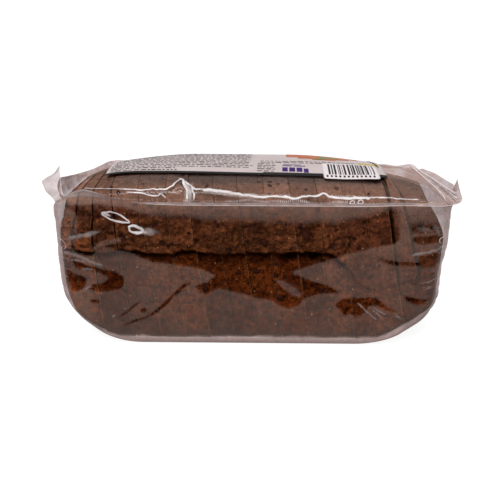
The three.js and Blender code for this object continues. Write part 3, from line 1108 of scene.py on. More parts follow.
# %% Small patches on the front wall
SMALL_PATCHES = [
    [(48, 26), (54, 30), (62, 30), (70, 30), (78, 24), (82, 22), (79, 22), (74, 24), (69, 26),
     (67, 25), (63, 20), (59, 19), (56, 21), (54, 19), (52, 20), (50, 23)],
    [(-96, 53), (-92, 50), (-89, 48), (-79, 46), (-74, 45), (-70, 42), (-69, 39), (-70, 36),
     (-74, 34), (-83, 33), (-88, 34), (-89, 36), (-81, 38), (-78, 40), (-78, 42), (-82, 44),
     (-87, 45), (-95, 47)],
    [(-101.5, 45.1), (-95.7, 43), (-90.5, 41.6), (-89.6, 39.5), (-91.9, 34.4), (-96.7, 32.1),
     (-99.3, 32.8), (-100.9, 37.2)],
    [(-88, 26.2), (-83.8, 26.2), (-83.8, 27.5), (-88, 27.5)],
    [(-32, 39), (-37, 37), (-41, 33), (-46, 28), (-50, 24), (-57, 18), (-62, 16), (-66, 15),
     (-70, 12), (-64, 14), (-57, 17), (-52, 20), (-46, 25), (-42, 30), (-38, 33), (-34, 37)],
    [(-60.4, 27.5), (-67, 22.4), (-73.9, 16.4), (-66.5, 21.2)],
    [(-60.6, 20.6), (-58, 20.6), (-58, 22.6), (-60.4, 22.5)],
    [(68.3, 53.9), (79.3, 52.4), (87.7, 52.2), (95.7, 50.3), (91.5, 49.6), (84.4, 49.3),
     (77, 50.1), (71.5, 52)],
    [(91.6, 55.3), (103.7, 56), (104.2, 52.4), (102.4, 49.7), (96.5, 48.4), (92.9, 49.6)],
    [(86.1, 31.1), (92.4, 29.8), (98.6, 29.3), (102.7, 31.3), (95.8, 26.5), (87.6, 28.5)],
    [(85.9, 73.6), (98.4, 73.9), (99.3, 71.7), (98.5, 69.5), (86.9, 69.4)],
    [(87.6, 67.1), (100.9, 67.3), (101.2, 64.4), (89.1, 63.2)],
]
print("small patches:", len(SMALL_PATCHES))

# %% How far a place is inside a patch
TINY, FAR = 1e-9, 1e9
POINTS_PER_PLACE = 6


def inside_by(outline, x, z):
    """How many mm a place lies inside a smooth closed outline, negative outside."""
    ring = smooth_curve(outline, POINTS_PER_PLACE * len(outline), closed=True)
    after = np.roll(ring, -1, axis=0)
    nearest = np.full(len(x), FAR)
    within = np.zeros(len(x), bool)
    for (x0, z0), (x1, z1) in zip(ring, after):
        share = clamp01(((x - x0) * (x1 - x0) + (z - z0) * (z1 - z0))
                        / ((x1 - x0) ** 2 + (z1 - z0) ** 2 + TINY))
        gap = np.hypot(x - mix(x0, x1, share), z - mix(z0, z1, share))
        nearest = np.minimum(nearest, gap)
        crosses = (z0 > z) != (z1 > z)
        at = x0 + (z - z0) * (x1 - x0) / (z1 - z0 if z1 != z0 else TINY)
        within ^= crosses & (x < at)
    return np.where(within, nearest, -nearest)


def clinging(points, outward):
    """0 where the film stands off, 1 where it clings, over the tray's walls."""
    x, y, z = points.T
    # A patch's edge is crisp below and soft under the rim, and wobbles a little.
    edge = 0.5 + 2.3 * smooth((z - 68) / 8) * smooth((x + 72) / 30)
    wobble = 0.4 * noise(points, 4, 61) + 0.9 * noise(points, 9, 64) * smooth((z - 66) / 8)
    front = np.full(len(x), -FAR)
    facing = (outward[:, 1] < -0.15) & (y < 0)
    xs, zs = x[facing] + wobble[facing], z[facing] + wobble[facing]
    patch = np.maximum.reduce([inside_by(p, xs, zs) for p in [BAND_PATCH, *SMALL_PATCHES]])
    veil = np.maximum.reduce([inside_by(p, xs, zs) for p in VEILS_INSIDE])
    front[facing] = np.minimum(patch, -veil)
    on_front = smooth((front + edge) / (2 * edge))
    elsewhere = smooth((ragged(points * [1, 1, 1.3], 34, 62, 3) - 0.02) / 0.09)
    return np.where(facing, on_front, elsewhere)


inside = inside_by(BAND_PATCH, np.array([0.0]), np.array([60.0]))
print("mm that the wall's middle at 60 mm is inside the large patch:", inside.round(1).tolist())

# %% [markdown]
# ## Tray
# The tray is one fine sheet, lofted through its outlines. It hangs a little slack, so long
# soft folds run over it and sharper creases gather at the ends. Simulated cloth would fold by
# itself, but never twice the same, and could pass through the bread. Here the folds are noise
# that only ever moves the film inwards, which keeps the pack inside its solid.

# %% The tray as a grid of points
AROUND_STEPS = (186, 74, 280, 14)  # along the back, an end, the front, and a corner
WALL_STEP = 0.76
FOOT_STEPS = 13
FOOT_SHARES = (0.06, 0.2, 0.38, 0.56, 0.72, 0.85, 0.93, 0.975)
RIM_ROWS = (0.5, 0.2, 0.0)  # closer rows just below the rim
SEAL_RISES = [(-86, -49, 14, 2.2), (78, -49, 16, 0.9)]  # x, y, reach, height


def seal_rise(x, y):
    """How far the seal line leaves its plane."""
    return sum(height * np.exp(-((x - at_x) ** 2 + (y - at_y) ** 2) / reach**2)
               for at_x, at_y, reach, height in SEAL_RISES)


def tray_grid():
    """Rings of the tray from its middle outwards and up; (ring, point, xyz)."""
    turn = np.linspace(0, math.pi / 2, FOOT_STEPS)
    heights = np.concatenate([
        SIDE_RISE * (1 - np.cos(turn)),
        np.arange(SIDE_RISE + WALL_STEP, RIM_HEIGHT - 0.8, WALL_STEP),
        [RIM_HEIGHT - below for below in RIM_ROWS],
    ])
    walls = []
    for height in heights:
        outline = tray_outline(height, AROUND_STEPS)
        lift = seal_rise(*outline.T) * (height / RIM_HEIGHT) ** 12
        walls.append(np.column_stack([outline, height + lift]))
    inner = [walls[0] * [share, share, 1] for share in FOOT_SHARES]
    return np.stack([*inner, *walls])


def grid_normals(grid):
    """Outward normals of a closed-ring grid of points, rows going up."""
    around = np.roll(grid, -1, axis=1) - np.roll(grid, 1, axis=1)
    up = np.gradient(grid, axis=0)
    normal = np.cross(around, up)
    return normal / (np.linalg.norm(normal, axis=2)[..., None] + TINY)


tray_points = tray_grid()
print("rings and points in each:", tray_points.shape[:2])

# %% [markdown]
# How cloudy the film looks depends on how far it stands off the bread. So the distance from
# every point of the film to the loaf is measured once, with the search tree, and stored as a
# mark. Round the ends and below the loaf's edge the film has no bread behind it at all.

# %% Film that stands off
HAZE_MOST, HAZE_REACH, HAZE_POWER = 0.62, 9.0, 1.4
FARTHEST = 60.0
BARE_RIGHT, BARE_LEFT, FOOT_MARGIN = 100, -99, 7.5


def standoff(points):
    """Distance in mm from each point to the loaf."""
    gaps = [loaf_tree.find_nearest(Vector(p * MM), FARTHEST * MM)[3] for p in points]
    return np.array([FARTHEST if gap is None else gap / MM for gap in gaps])


def haze_at(gap):
    return HAZE_MOST * (1 - np.exp(-((gap / HAZE_REACH) ** HAZE_POWER)))


def bare_film(points):
    """1 where the film stands on its own: round the ends, and below the loaf's edge."""
    x, y, z = points.T
    ends = np.maximum(smooth((x - BARE_RIGHT) / 5), smooth((BARE_LEFT - x) / 5))
    outside = np.maximum(smooth((np.abs(y) - 34) / 6), smooth((np.abs(x) - 62) / 8))
    foot_line = bottom_rise(x) + FOOT_MARGIN + 0.8 * noise(points, 6, 66)
    return ends, smooth((foot_line - z) / 3) * outside


print("haze 1, 4 and 16 mm off the bread:", [round(float(haze_at(g)), 2) for g in (1, 4, 16)])

# %% Folds of the tray
FOLDS_DEEP, GATHERS_DEEP, RIPPLES_DEEP = 0.9, 1.1, 0.7


def tray_slack(points):
    """Inward displacement of the tray in mm."""
    x, _, z = points.T
    free = smooth((z - 1.5) / 8) * smooth((RIM_HEIGHT - z) / 6)
    long_folds = 0.5 + 0.5 * noise(points * [0.8, 0.8, 1.2], 26, 71)
    near_end = smooth((np.abs(x) - 80) / 18) * (1 - 0.6 * smooth((np.abs(x) - 101) / 4))
    gathers = (1 - np.abs(noise(points * [0.45, 0.45, 1.5], 9, 72))) ** 6
    ripples = 0.5 + 0.5 * noise(points * [0.6, 0.6, 1.6], 6, 73)
    low_end = 1 - 0.6 * near_end * smooth((34 - z) / 14)
    folds = FOLDS_DEEP * long_folds
    return free * low_end * (folds + near_end * (GATHERS_DEEP * gathers + RIPPLES_DEEP * ripples))


print("deepest fold, mm:", round(float(tray_slack(tray_points.reshape(-1, 3)).max()), 2))

# %% Tray mesh
CLING_DEEP = 0.7
WALL_GLOSS = 0.45
UNDER_RIM_HAZE, LEFT_FOOT_HAZE = 0.12, 0.10
BARE_ENDS, MORE_AT_LEFT, BARE_BELOW = 0.45, 0.07, 0.66
PALE_BELOW, PALE_ENDS = 0.42, 0.3


def make_tray(grid):
    rows, around, _ = grid.shape
    outward = grid_normals(grid).reshape(-1, 3)
    points = grid.reshape(-1, 3)
    z = points[:, 2]
    cling = clinging(points, outward)
    slack = tray_slack(points) + CLING_DEEP * cling * smooth((z - 2) / 6)
    points = points - outward * slack[:, None] * smooth(z / 2)[:, None]
    x, _, z = points.T
    ends, below = bare_film(points)
    under_rim = UNDER_RIM_HAZE * smooth((z - 75) / 7) * smooth((x + 72) / 20)
    left_foot = LEFT_FOOT_HAZE * smooth((-84 - x) / 10) * smooth((46 - z) / 14)
    haze = (haze_at(standoff(points)) + under_rim + left_foot) * (1 - cling)
    ends_haze = (BARE_ENDS + MORE_AT_LEFT * (x < 0)) * ends
    marks = {
        "haze": np.maximum.reduce([haze, ends_haze, BARE_BELOW * below]),
        "gloss": WALL_GLOSS * (1 - cling) * smooth((outward[:, 2] + 0.5) / 0.4),
        # Painted shade: below the loaf's edge the tint dims the glowing floor seen through the
        # film, where the loaf shades it.
        "tint": np.maximum(ends, below),
        "pale": np.maximum(PALE_BELOW * below, PALE_ENDS * ends),
    }
    faces = [*ring_grid(rows, around).tolist(), list(range(around))[::-1]]
    return make_piece("film_tray", points, faces, film, marks)


film_tray = make_tray(tray_points)
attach(film_tray, "root")
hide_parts("pack")
print("tray faces:", len(film_tray.data.polygons))

# %% [markdown]
# ## Lid and flange
# The lid is domed over the loaf and drawn down to the seal line. Outside that line the two
# films are welded into a narrow flange that curls: it stands up as a flap at the front left
# corner, waves beside it, lies nearly flat along the front and curls into a spike at the
# right. Bending a flat strip by hand would do, but would be hard to change later. A list of
# stations round the rim gives the flange's angle and width instead, eased in between.

# %% How the flange stands
FLANGE_WIDTH, FLANGE_CORNER = 5.0, 6.0
FLANGE_STATIONS = [  # x, y on the rim, degrees above level, width
    (107, -36, 80, 15), (107, -34, 62, 8), (107, -28, 54, 7.5), (107, -12, 50, 6.5),
    (107, 5, 44, 6), (107, 22, 44, 4.5), (107, 30, 10, 3), (104, 39, 30, 4.5),
    (96, 41, 6, 3.5), (88, 42, 24, 4), (80, 43, 6, 4.5), (-38, 49, 12, 5), (-80, 49, 6, 5),
    (-91, 47, 30, 3),
    (-93, 37, 60, 3), (-97, 20, 45, 2.6), (-99, 8, 60, 3.2), (-99.5, -8, 76, 5.3),
    (-99.5, -22, 82, 7.6), (-99.5, -38, 86, 10), (-99.5, -42, 86, 10), (-96.5, -48, 60, 1.6),
    (-94, -49, 60, 1.6), (-91, -49, 70, 3.5), (-85, -49, 76, 4.8), (-79, -49, 66, 4),
    (-71, -49, 44, 3.5), (-63, -49, 14, 3.2), (-52, -49, -6, 3.4), (-36, -49, -12, 3.8),
    (40, -49, -12, 3.9), (66, -49, -12, 4.4), (84, -49, -10, 5), (95, -49, -4, 5.5),
    (104, -46, 20, 5), (107, -42, 48, 6), (107, -38, 74, 9),
]
STANCE_EASING = 3


def flange_stance(rim):
    """Angle and width of the flange at every point of the rim."""
    steps = np.linalg.norm(np.roll(rim, -1, axis=0) - rim, axis=1)
    places = np.concatenate([[0], np.cumsum(steps)[:-1]])
    around = steps.sum()
    found = []
    for x, y, angle, width in FLANGE_STATIONS:
        nearest = np.argmin(np.hypot(rim[:, 0] - x, rim[:, 1] - y))
        found.append((places[nearest], angle, width))
    found = np.array(sorted(found))
    after = np.searchsorted(found[:, 0], places, side="right") % len(found)
    start, end = found[after - 1], found[after]
    share = ((places - start[:, 0]) % around) / ((end[:, 0] - start[:, 0]) % around)
    stance = mix(start[:, 1:], end[:, 1:], share[:, None])
    for _ in range(STANCE_EASING):
        stance = (np.roll(stance, 1, axis=0) + stance + np.roll(stance, -1, axis=0)) / 3
    return np.radians(stance[:, 0]), stance[:, 1]


def flange_ring(rim, edge, stance, share):
    """The ring of points at a share of the flange's width, 0 at the seal, 1 at its edge."""
    angle, width = stance
    away = edge - rim
    away = away / np.linalg.norm(away, axis=1)[:, None]
    turn = angle * smooth(min(1.0, 0.4 + share))
    flat = rim + away * (width * share * np.cos(turn))[:, None]
    return np.column_stack([flat, RIM_HEIGHT + seal_rise(*rim.T) + width * share * np.sin(turn)])


print("flange stations:", len(FLANGE_STATIONS))

# %% [markdown]
# The lid isn't an even dome. Along the front its shoulder wanders in and out, a sharp pleat
# stands by the label's left third, and fine creases run to both ends. `shoulder_at` says where
# the lid turns down, and `lid_height` squeezes the dome to that line and adds the rest.

# %% The lid's own height
PLEAT_X, PLEAT_HIGH, PLEAT_REACH = -34.0, 0.9, 1.7
NATURAL_SHOULDER, BACK_SHOULDER_IN = 46.6, 1.5
LID_CREASE_DEEP, LID_SLACK = 0.5, 0.12


def shoulder_at(x, y):
    """How far from the middle the lid turns down to the seal, along the front and the back."""
    lane = np.stack([x, 0 * x, 40 * np.sign(y)], axis=1)
    front = (
        NATURAL_SHOULDER
        - 3.0 * (1 - smooth((x + 28) / 26))
        - 2.5 * hump(x, PLEAT_X - 2.5, 3.6)
        - 1.6 * hump(x, -75, 13)
        + 1.2 * hump(x, 23, 2.5)
        - 1.2 * hump(x, 37, 5)
        - 1.2 * hump(x, 76, 10)
        + 0.35 * noise(lane, 7, 81)
    )
    back = NATURAL_SHOULDER - BACK_SHOULDER_IN + BACK_SHOULDER_IN * noise(lane, 15, 82)
    return np.where(y < 0, front, back)


def lid_height(x, y):
    """The lid's own height: the dome, drawn in at its shoulder, with a little slack."""
    spot = np.stack([x, y, 0 * x], axis=1)
    inner = smooth((48.9 - np.abs(y)) / 2.5) * smooth((103.5 - np.abs(x - CROWN_MIDDLE)) / 5)
    drawn = np.clip(y * NATURAL_SHOULDER / shoulder_at(x, y), -RIM_HALF_WIDTH, RIM_HALF_WIDTH)
    pleat = PLEAT_HIGH * hump(x, PLEAT_X, PLEAT_REACH) * smooth((-y - 36) / 4)
    creases = LID_CREASE_DEEP * np.abs(noise(spot * [0.5, 1.4, 0], 7, 84))
    creases = creases * smooth((np.abs(x) - 72) / 20)
    low = LID_SLACK * (1 + noise(spot, 17, 83))
    return crown_height(x, drawn) + inner * (pleat - creases - low)


pleat_top = lid_height(np.array([PLEAT_X]), np.array([-42.0]))
print("lid at the pleat, mm:", pleat_top.round(1).tolist())

# %% The lid as a grid of points
FLANGE_SHARES = np.linspace(1, 0, 9)[:-1]  # of its width, from the edge in to the seal
LID_ROWS = 64
INNERMOST, CROWDING = 0.985, 1.5  # the lid's rows crowd towards the seal


def lid_grid(rim):
    """Rings from the flange's edge to the middle of the dome; (ring, point, xyz)."""
    edge = rounded_outline(
        -RIM_LEFT - FLANGE_WIDTH, RIM_RIGHT + FLANGE_WIDTH, RIM_HALF_WIDTH + FLANGE_WIDTH,
        FLANGE_CORNER, AROUND_STEPS)
    edge = drawn_right(edge, pull_at(edge[:, 1]))
    stance = flange_stance(rim)
    flange = [flange_ring(rim, edge, stance, share) for share in FLANGE_SHARES]
    crown = []
    for share in 1 - np.linspace(0, INNERMOST, LID_ROWS) ** CROWDING:
        x, y = mix(CROWN_MIDDLE, rim[:, 0], share), rim[:, 1] * share
        z = lid_height(x, y) + seal_rise(*rim.T) * share**12
        crown.append(np.column_stack([x, y, np.maximum(z, RIM_HEIGHT)]))
    return np.stack([*flange, *crown])


print("rings of the lid, with its flange:", LID_ROWS + len(FLANGE_SHARES))

# %% [markdown]
# The lid's marks follow what it lies over: bread, the gaps at both ends, the label, whose
# painted cool shadow falls on the bread in front of it, and the pleat. The flange is two films
# welded together, so it is cloudier than one; its edge, and the flange along the front, are
# painted paler as a highlight.

# %% Marks of the dome
LID_GLOSS, BARE_HAZE, BARE_PALE = 0.6, 0.76, 0.18
PLEAT_HAZE, PLEAT_PALE = 0.4, 0.6


def dome_marks(points):
    x, y, _ = points.T
    right_of_label = smooth((x - 69) / 6) * mix(0.3, 1.0, smooth((y + 29) / 12))
    left_of_label = smooth((-78 - x) / 8) * smooth((y + 14) / 18)
    ends = np.maximum(smooth((x - 97) / 6), smooth((-96 - x) / 3))
    bare = np.maximum.reduce([right_of_label, left_of_label, ends])
    near_seal = smooth((-39 - y) / 4) * smooth((85 - np.abs(x)) / 8)
    haze = haze_at(standoff(points)) * (1 - 0.7 * near_seal)
    shade = smooth((y + 38.5) / 5) * smooth((78 - np.abs(x + 2)) / 8) * smooth((4 - y) / 6)
    shade = shade * mix(0.55, 1.0, smooth((x + 70) / 50))
    pleat = smooth((x + 35.6) / 1.2) * smooth((-29.8 - x) / 1.5) * smooth((-34 - y) / 4)
    dull = np.maximum(bare, smooth((-70 - x) / 8))
    return {
        "haze": np.maximum.reduce([haze, BARE_HAZE * bare, PLEAT_HAZE * pleat]),
        "pale": np.maximum(BARE_PALE * bare, PLEAT_PALE * pleat),
        "tint": bare,
        "gloss": LID_GLOSS * (1 - 0.8 * dull),
        "shade": np.maximum(0.8 * shade, 0.5 * bare),
    }


at_middle = dome_marks(np.array([[0.0, 0.0, 97.0]]))
print("marks over the middle:", {mark: round(float(at_middle[mark][0]), 2) for mark in at_middle})

# %% Marks of the flange, and the lid mesh


def flange_marks(points, share):
    """`share` is how far out on the flange a point lies."""
    x, y, _ = points.T
    in_front = smooth((-y - 47) / 2) * smooth((x + 95) / 6) * smooth((90 - x) / 8)
    # Painted highlight: the flange's edge, and the narrow flange along the front, are paler.
    edge_highlight = smooth((share - 0.74) / 0.12)
    return {
        "haze": mix(0.80, 0.30, in_front) + mix(0.20, 0.50, in_front) * edge_highlight,
        "pale": mix(0.42, 0.85, np.maximum(in_front, edge_highlight)),
        "tint": 0.9,
        "gloss": LID_GLOSS,
        "shade": 0.3,
    }


def make_lid():
    rim = tray_outline(RIM_HEIGHT, AROUND_STEPS)
    grid = lid_grid(rim)
    points = grid.reshape(-1, 3)
    share = np.repeat(np.concatenate([FLANGE_SHARES, np.zeros(LID_ROWS)]), len(rim))
    on_flange, on_dome = flange_marks(points, share), dome_marks(points)
    marks = {mark: np.where(share > 0, on_flange[mark], on_dome[mark]) for mark in on_dome}
    faces = ring_grid(len(grid), len(rim)).tolist()
    last = (len(grid) - 1) * len(rim)
    faces.append(list(range(last, last + len(rim))))
    return make_piece("film_lid", points, faces, film, marks)


film_lid = make_lid()
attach(film_lid, "root")
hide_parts("pack")
print("lid faces:", len(film_lid.data.polygons))

# %% [markdown]
# ## The turned-up corner
# At the front left the welded flange is wide and stands up as a stiff little flap with a
# pointed tip. It leans over itself, which a ring of the lid can't do, so it is a sheet of its
# own. Its two long edges are smooth curves through a few places, and the sheet spans from one
# to the other with a soft crumple pressed in.

# %% Corner flap
FLAP_OUTER = [
    (-102.6, -46, 83.4), (-102.6, -46.5, 84.7), (-104.2, -47, 87.2), (-106.1, -47.5, 89.7),
    (-107.3, -47, 92.4), (-108.2, -46, 94.7), (-106.2, -43.5, 96.3), (-103.2, -41, 97.9),
    (-101.1, -38, 100.9),
]
FLAP_INNER = [
    (-97.4, -47.5, 83.8), (-95.9, -47, 85.9), (-97.5, -46, 87.6), (-98.6, -44.5, 89.7),
    (-99.4, -42.5, 92.3), (-99.7, -41, 94.7), (-100.4, -39.8, 96.9), (-100.8, -38.6, 99.6),
    (-101.1, -38, 100.9),
]
FLAP_ROWS, FLAP_COLUMNS = 56, 24
CRUMPLE, BOW, FLAP_EDGE = 0.8, 1.2, 0.08


def make_flap():
    outer, inner = smooth_curve(FLAP_OUTER, FLAP_ROWS), smooth_curve(FLAP_INNER, FLAP_ROWS)
    across = np.linspace(0, 1, FLAP_COLUMNS)[None, :, None]
    points = (outer[:, None] * (1 - across) + inner[:, None] * across).reshape(-1, 3)
    across = np.tile(across.ravel(), FLAP_ROWS)
    bowed = np.sin(math.pi * across)
    points[:, 1] += CRUMPLE * ragged(points, 6, 95) * bowed + BOW * bowed
    edge = 1 - smooth(np.minimum(across, 1 - across) / FLAP_EDGE)
    marks = {
        "haze": 0.80 + 0.12 * edge + 0.08 * noise(points, 4, 96) + 0.06 * noise(points, 1.6, 99),
        "pale": np.full(len(points), 0.95),
        "tint": np.full(len(points), 0.5),
        "gloss": np.full(len(points), 0.5),
    }
    return make_piece("film_flap", points, sheet_grid(FLAP_ROWS, FLAP_COLUMNS), film, marks)


film_flap = make_flap()
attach(film_flap, "root")
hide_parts("pack")
print("flap faces:", len(film_flap.data.polygons))

# %% [markdown]
# ## Creases
# Slack film gathers into narrow creases, and their bright lines are painted highlights.
# Modelled in the tray's own mesh they would need a far finer grid all over, and a bump map
# would leave them flat. So each one is a ribbon that lies on the film: its middle is raised a
# little and painted pale and cloudy as a highlight, and it fades to nothing at its sides and
# its ends. Along the lid's front, such ribbons also paint the shoulder's bright line. The
# places of a crease are flat, (along, up) on the front wall or (along, across) on the lid, and
# a ray finds where the film is there.

# %% Creases of the front wall, painted as highlights
# Painted highlights along the front wall's folds and rings; strength is how bright each is
# painted.
WALL_CREASE_HIGHLIGHTS = [  # width, strength, places (along, up)
    (3.2, 0.20, [(-98, 64.3), (-90.5, 65.6), (-84.4, 66.9), (-78.5, 68.7)]),
    (0.9, 0.40, [(-103.4, 64.3), (-100.2, 63.4), (-98.7, 61.7), (-98.7, 59.1), (-100.2, 57.1)]),
    (2.6, 0.15, [(-101.7, 55.7), (-96.9, 55.5), (-91.7, 53.8), (-85.5, 50.6), (-78.6, 48.3)]),
    (1.8, 0.14, [(-101.3, 53.4), (-95.1, 51), (-87.7, 50.4)]),
    (1.6, 0.13, [(-92.6, 45.8), (-88.3, 46), (-84.6, 45.2)]),
    (1.4, 0.14, [(-91.7, 33), (-88.8, 35.4), (-86.3, 35)]),
    (0.8, 0.30, [(-77.8, 17.1), (-74.6, 19)]),
    (1.3, 0.95, [(-78, 78.2), (-73, 79), (-67.5, 76.8), (-63.6, 73.4), (-68.8, 73.6),
                 (-74.5, 75.6), (-78, 78.2)]),
    (1.9, 0.75, [(-78.6, 78.6), (-75.8, 77.8), (-73, 76.2)]),
    (1.7, 0.90, [(-64.4, 71.2), (-60.6, 71.6), (-56.9, 69.2), (-59.4, 67.8), (-63.4, 69),
                 (-64.4, 71.2)]),
    (2.0, 0.45, [(-58.6, 69.2), (-55.8, 68.2), (-53.4, 67.6)]),
    (4.5, 0.22, [(-60, 70), (-54, 68.5), (-47, 68)]),
    (1.2, 0.17, [(59.7, 27.4), (65.2, 22.2), (71.6, 16.7)]),
    (1.0, 0.16, [(66.7, 25.3), (70.8, 21.1), (75.1, 17.3)]),
    (1.0, 0.16, [(69, 25), (73, 22), (77, 19.5)]),
    (1.6, 0.12, [(81.2, 20.9), (85.3, 17.4)]),
    (1.9, 0.20, [(85.9, 56.2), (91.4, 57.6), (96.5, 58.8), (101.5, 60.8), (104.1, 62.3)]),
    (0.9, 0.45, [(103.5, 67), (101.6, 66.1), (100.8, 64.4), (101.7, 63.3)]),
    (3.4, 0.13, [(96.2, 75.1), (98.5, 71), (100.9, 67.3)]),
    (3.4, 0.10, [(86.4, 71.6), (92.6, 70.8), (98.7, 69.5)]),
    (1.6, 0.13, [(92.6, 38.7), (99.1, 40.5), (103, 43)]),
    (1.6, 0.13, [(96.2, 35.8), (101.6, 37)]),
]
print("creases on the wall:", len(WALL_CREASE_HIGHLIGHTS))

# %% Creases of the curled corner and of the lid, painted as highlights
# Painted glints on the curled corner.
CURL_CREASE_HIGHLIGHTS = [  # places (along, up)
    (1.2, 1.00, [(102.6, 84.6), (103.2, 87.5), (104.6, 89.6), (104.2, 92)]),
    (1.0, 0.95, [(101.4, 85.2), (104.8, 86.4), (108.2, 88.6), (110, 91.4)]),
    (1.0, 0.85, [(104, 85), (107, 86), (109.6, 88.2)]),
    (1.0, 0.70, [(98.6, 88.4), (101.6, 91), (105, 92.2), (107.6, 92.8)]),
]
# The long creases along the front follow the lid's shoulder and paint its bright line.
LID_CREASE_HIGHLIGHTS = [  # places (along, across)
    (1.0, 0.60, [(-90, -35), (-84, -37.5), (-77.5, -38.7), (-66, -40.4)]),
    (1.15, 1.00, [(-68, -40.2), (-58.4, -41.6), (-54.1, -41.6), (-52.4, -41), (-49.4, -41.3),
                 (-44.8, -41.2), (-41.8, -38.5), (-39.7, -34.6), (-37.6, -31.7), (-36.3, -32.1)]),
    (1.5, 1.00, [(-39.6, -31), (-38, -31.4), (-36.6, -32.4), (-35.8, -35.1), (-34.4, -39.4),
                 (-33.5, -41.9), (-33.1, -47.4)]),
    (2.6, 0.45, [(-35.5, -35), (-33.4, -39.4), (-32, -42), (-31.4, -47)]),
    (1.3, 0.95, [(-36, -32.3), (-33, -37.3), (-30.6, -39.6), (-29.3, -41), (-25, -41.5)]),
    (1.2, 0.95, [(-31.4, -38.4), (-30.4, -42.3), (-29.6, -44.4), (-29.7, -46.6)]),
    (2.4, 1.00, [(-27, -41.3), (-20.4, -42.2), (-15.8, -43.5), (-10.7, -44.6), (-5.8, -45.7),
                 (-3.4, -46.5), (1, -46.7)]),
    (4.5, 0.28, [(-28, -42), (-20, -43), (-12, -45), (-4, -46.6), (6, -47.4)]),
    (1.7, 1.00, [(-3, -46.5), (-1, -46.6), (3.5, -47.3), (10.6, -47.1), (12.5, -46.9),
                 (15.1, -47.3), (19.6, -47.4), (21.9, -48.6), (23.4, -48.8), (24.9, -48.2),
                 (27.1, -47.3), (34.1, -46), (36.3, -45), (37.6, -44.4), (39.3, -44.9),
                 (40.9, -46.4), (44.4, -47.5), (51.7, -47.7), (59.3, -47.6), (61.1, -47.9),
                 (63.3, -46.9)]),
    (1.2, 0.85, [(62, -47.2), (68.4, -46.8), (73, -46.4), (78, -46.6), (88.2, -47.5)]),
    (1.1, 0.85, [(-66.4, -42.4), (-58.1, -43.3), (-55, -44.1), (-51.9, -44.5), (-48.6, -44.6),
                 (-47.6, -43.7), (-46.6, -43.9), (-44.7, -45.1), (-43.5, -45.2)]),
    (0.6, 0.80, [(51.3, -49.7), (51.9, -48.8), (53.2, -48.6), (54.1, -49.1), (53.1, -49.9),
                 (51.3, -49.7)]),
    (0.6, 0.80, [(55.6, -49.3), (56.2, -48.6), (57.6, -48.4), (58.6, -48.9), (57.4, -49.8),
                 (55.6, -49.3)]),
    (0.7, 0.30, [(-41.2, -42.9), (-40.5, -40.9), (-38.9, -38.9), (-37, -38.2), (-36.3, -39.2),
                 (-37, -41), (-38.9, -42.3), (-41.2, -42.9)]),
]
print("creases on the lid:", len(LID_CREASE_HIGHLIGHTS) + len(CURL_CREASE_HIGHLIGHTS))

# %% From a flat place onto the film
WALL_RAYS_FROM, LID_RAYS_FROM = -90, 140
tray_tree, lid_tree = tree_of([film_tray]), tree_of([film_lid])


def onto_wall(along, up):
    """A ray towards the film, as its start and direction."""
    return (along, WALL_RAYS_FROM, up), (0, 1, 0)


def onto_lid(along, across):
    return (along, across, LID_RAYS_FROM), (0, 0, -1)


def film_under(tree, start, direction):
    """Where a ray meets the film, and the film's normal towards the ray's start."""
    hit, normal, _, _ = tree.ray_cast(Vector(start) * MM, Vector(direction))
    if hit is None:
        return None
    facing = -1 if normal.dot(direction) > 0 else 1
    return (*(np.array(hit) / MM), *(np.array(normal) * facing))


wall_middle = film_under(tray_tree, *onto_wall(0, 40))
print("front wall at 40 mm, place and normal:", np.round(wall_middle, 1).tolist())

# %% Ribbons on the film
# Across a ribbon, the cloudiness is its painted highlight, brightest in the middle.
PROFILE = [  # across the ribbon: side, height, cloudiness
    (-1.0, 0.0, 0.0), (-0.55, 0.1, 0.8), (0.0, 0.16, 1.0), (0.55, 0.1, 0.8), (1.0, 0.0, 0.0),
]
CREASE_STEP, FEWEST_STEPS = 0.45, 8
CREASE_LIFT, CREASE_SWAY = 0.3, 0.3
UNEVEN_WIDTH, FAINTNESS = 0.4, 0.35
TAPER_WIDTHS, NARROWEST = 1.5, 0.4
CREASE_GLOSS = 0.4


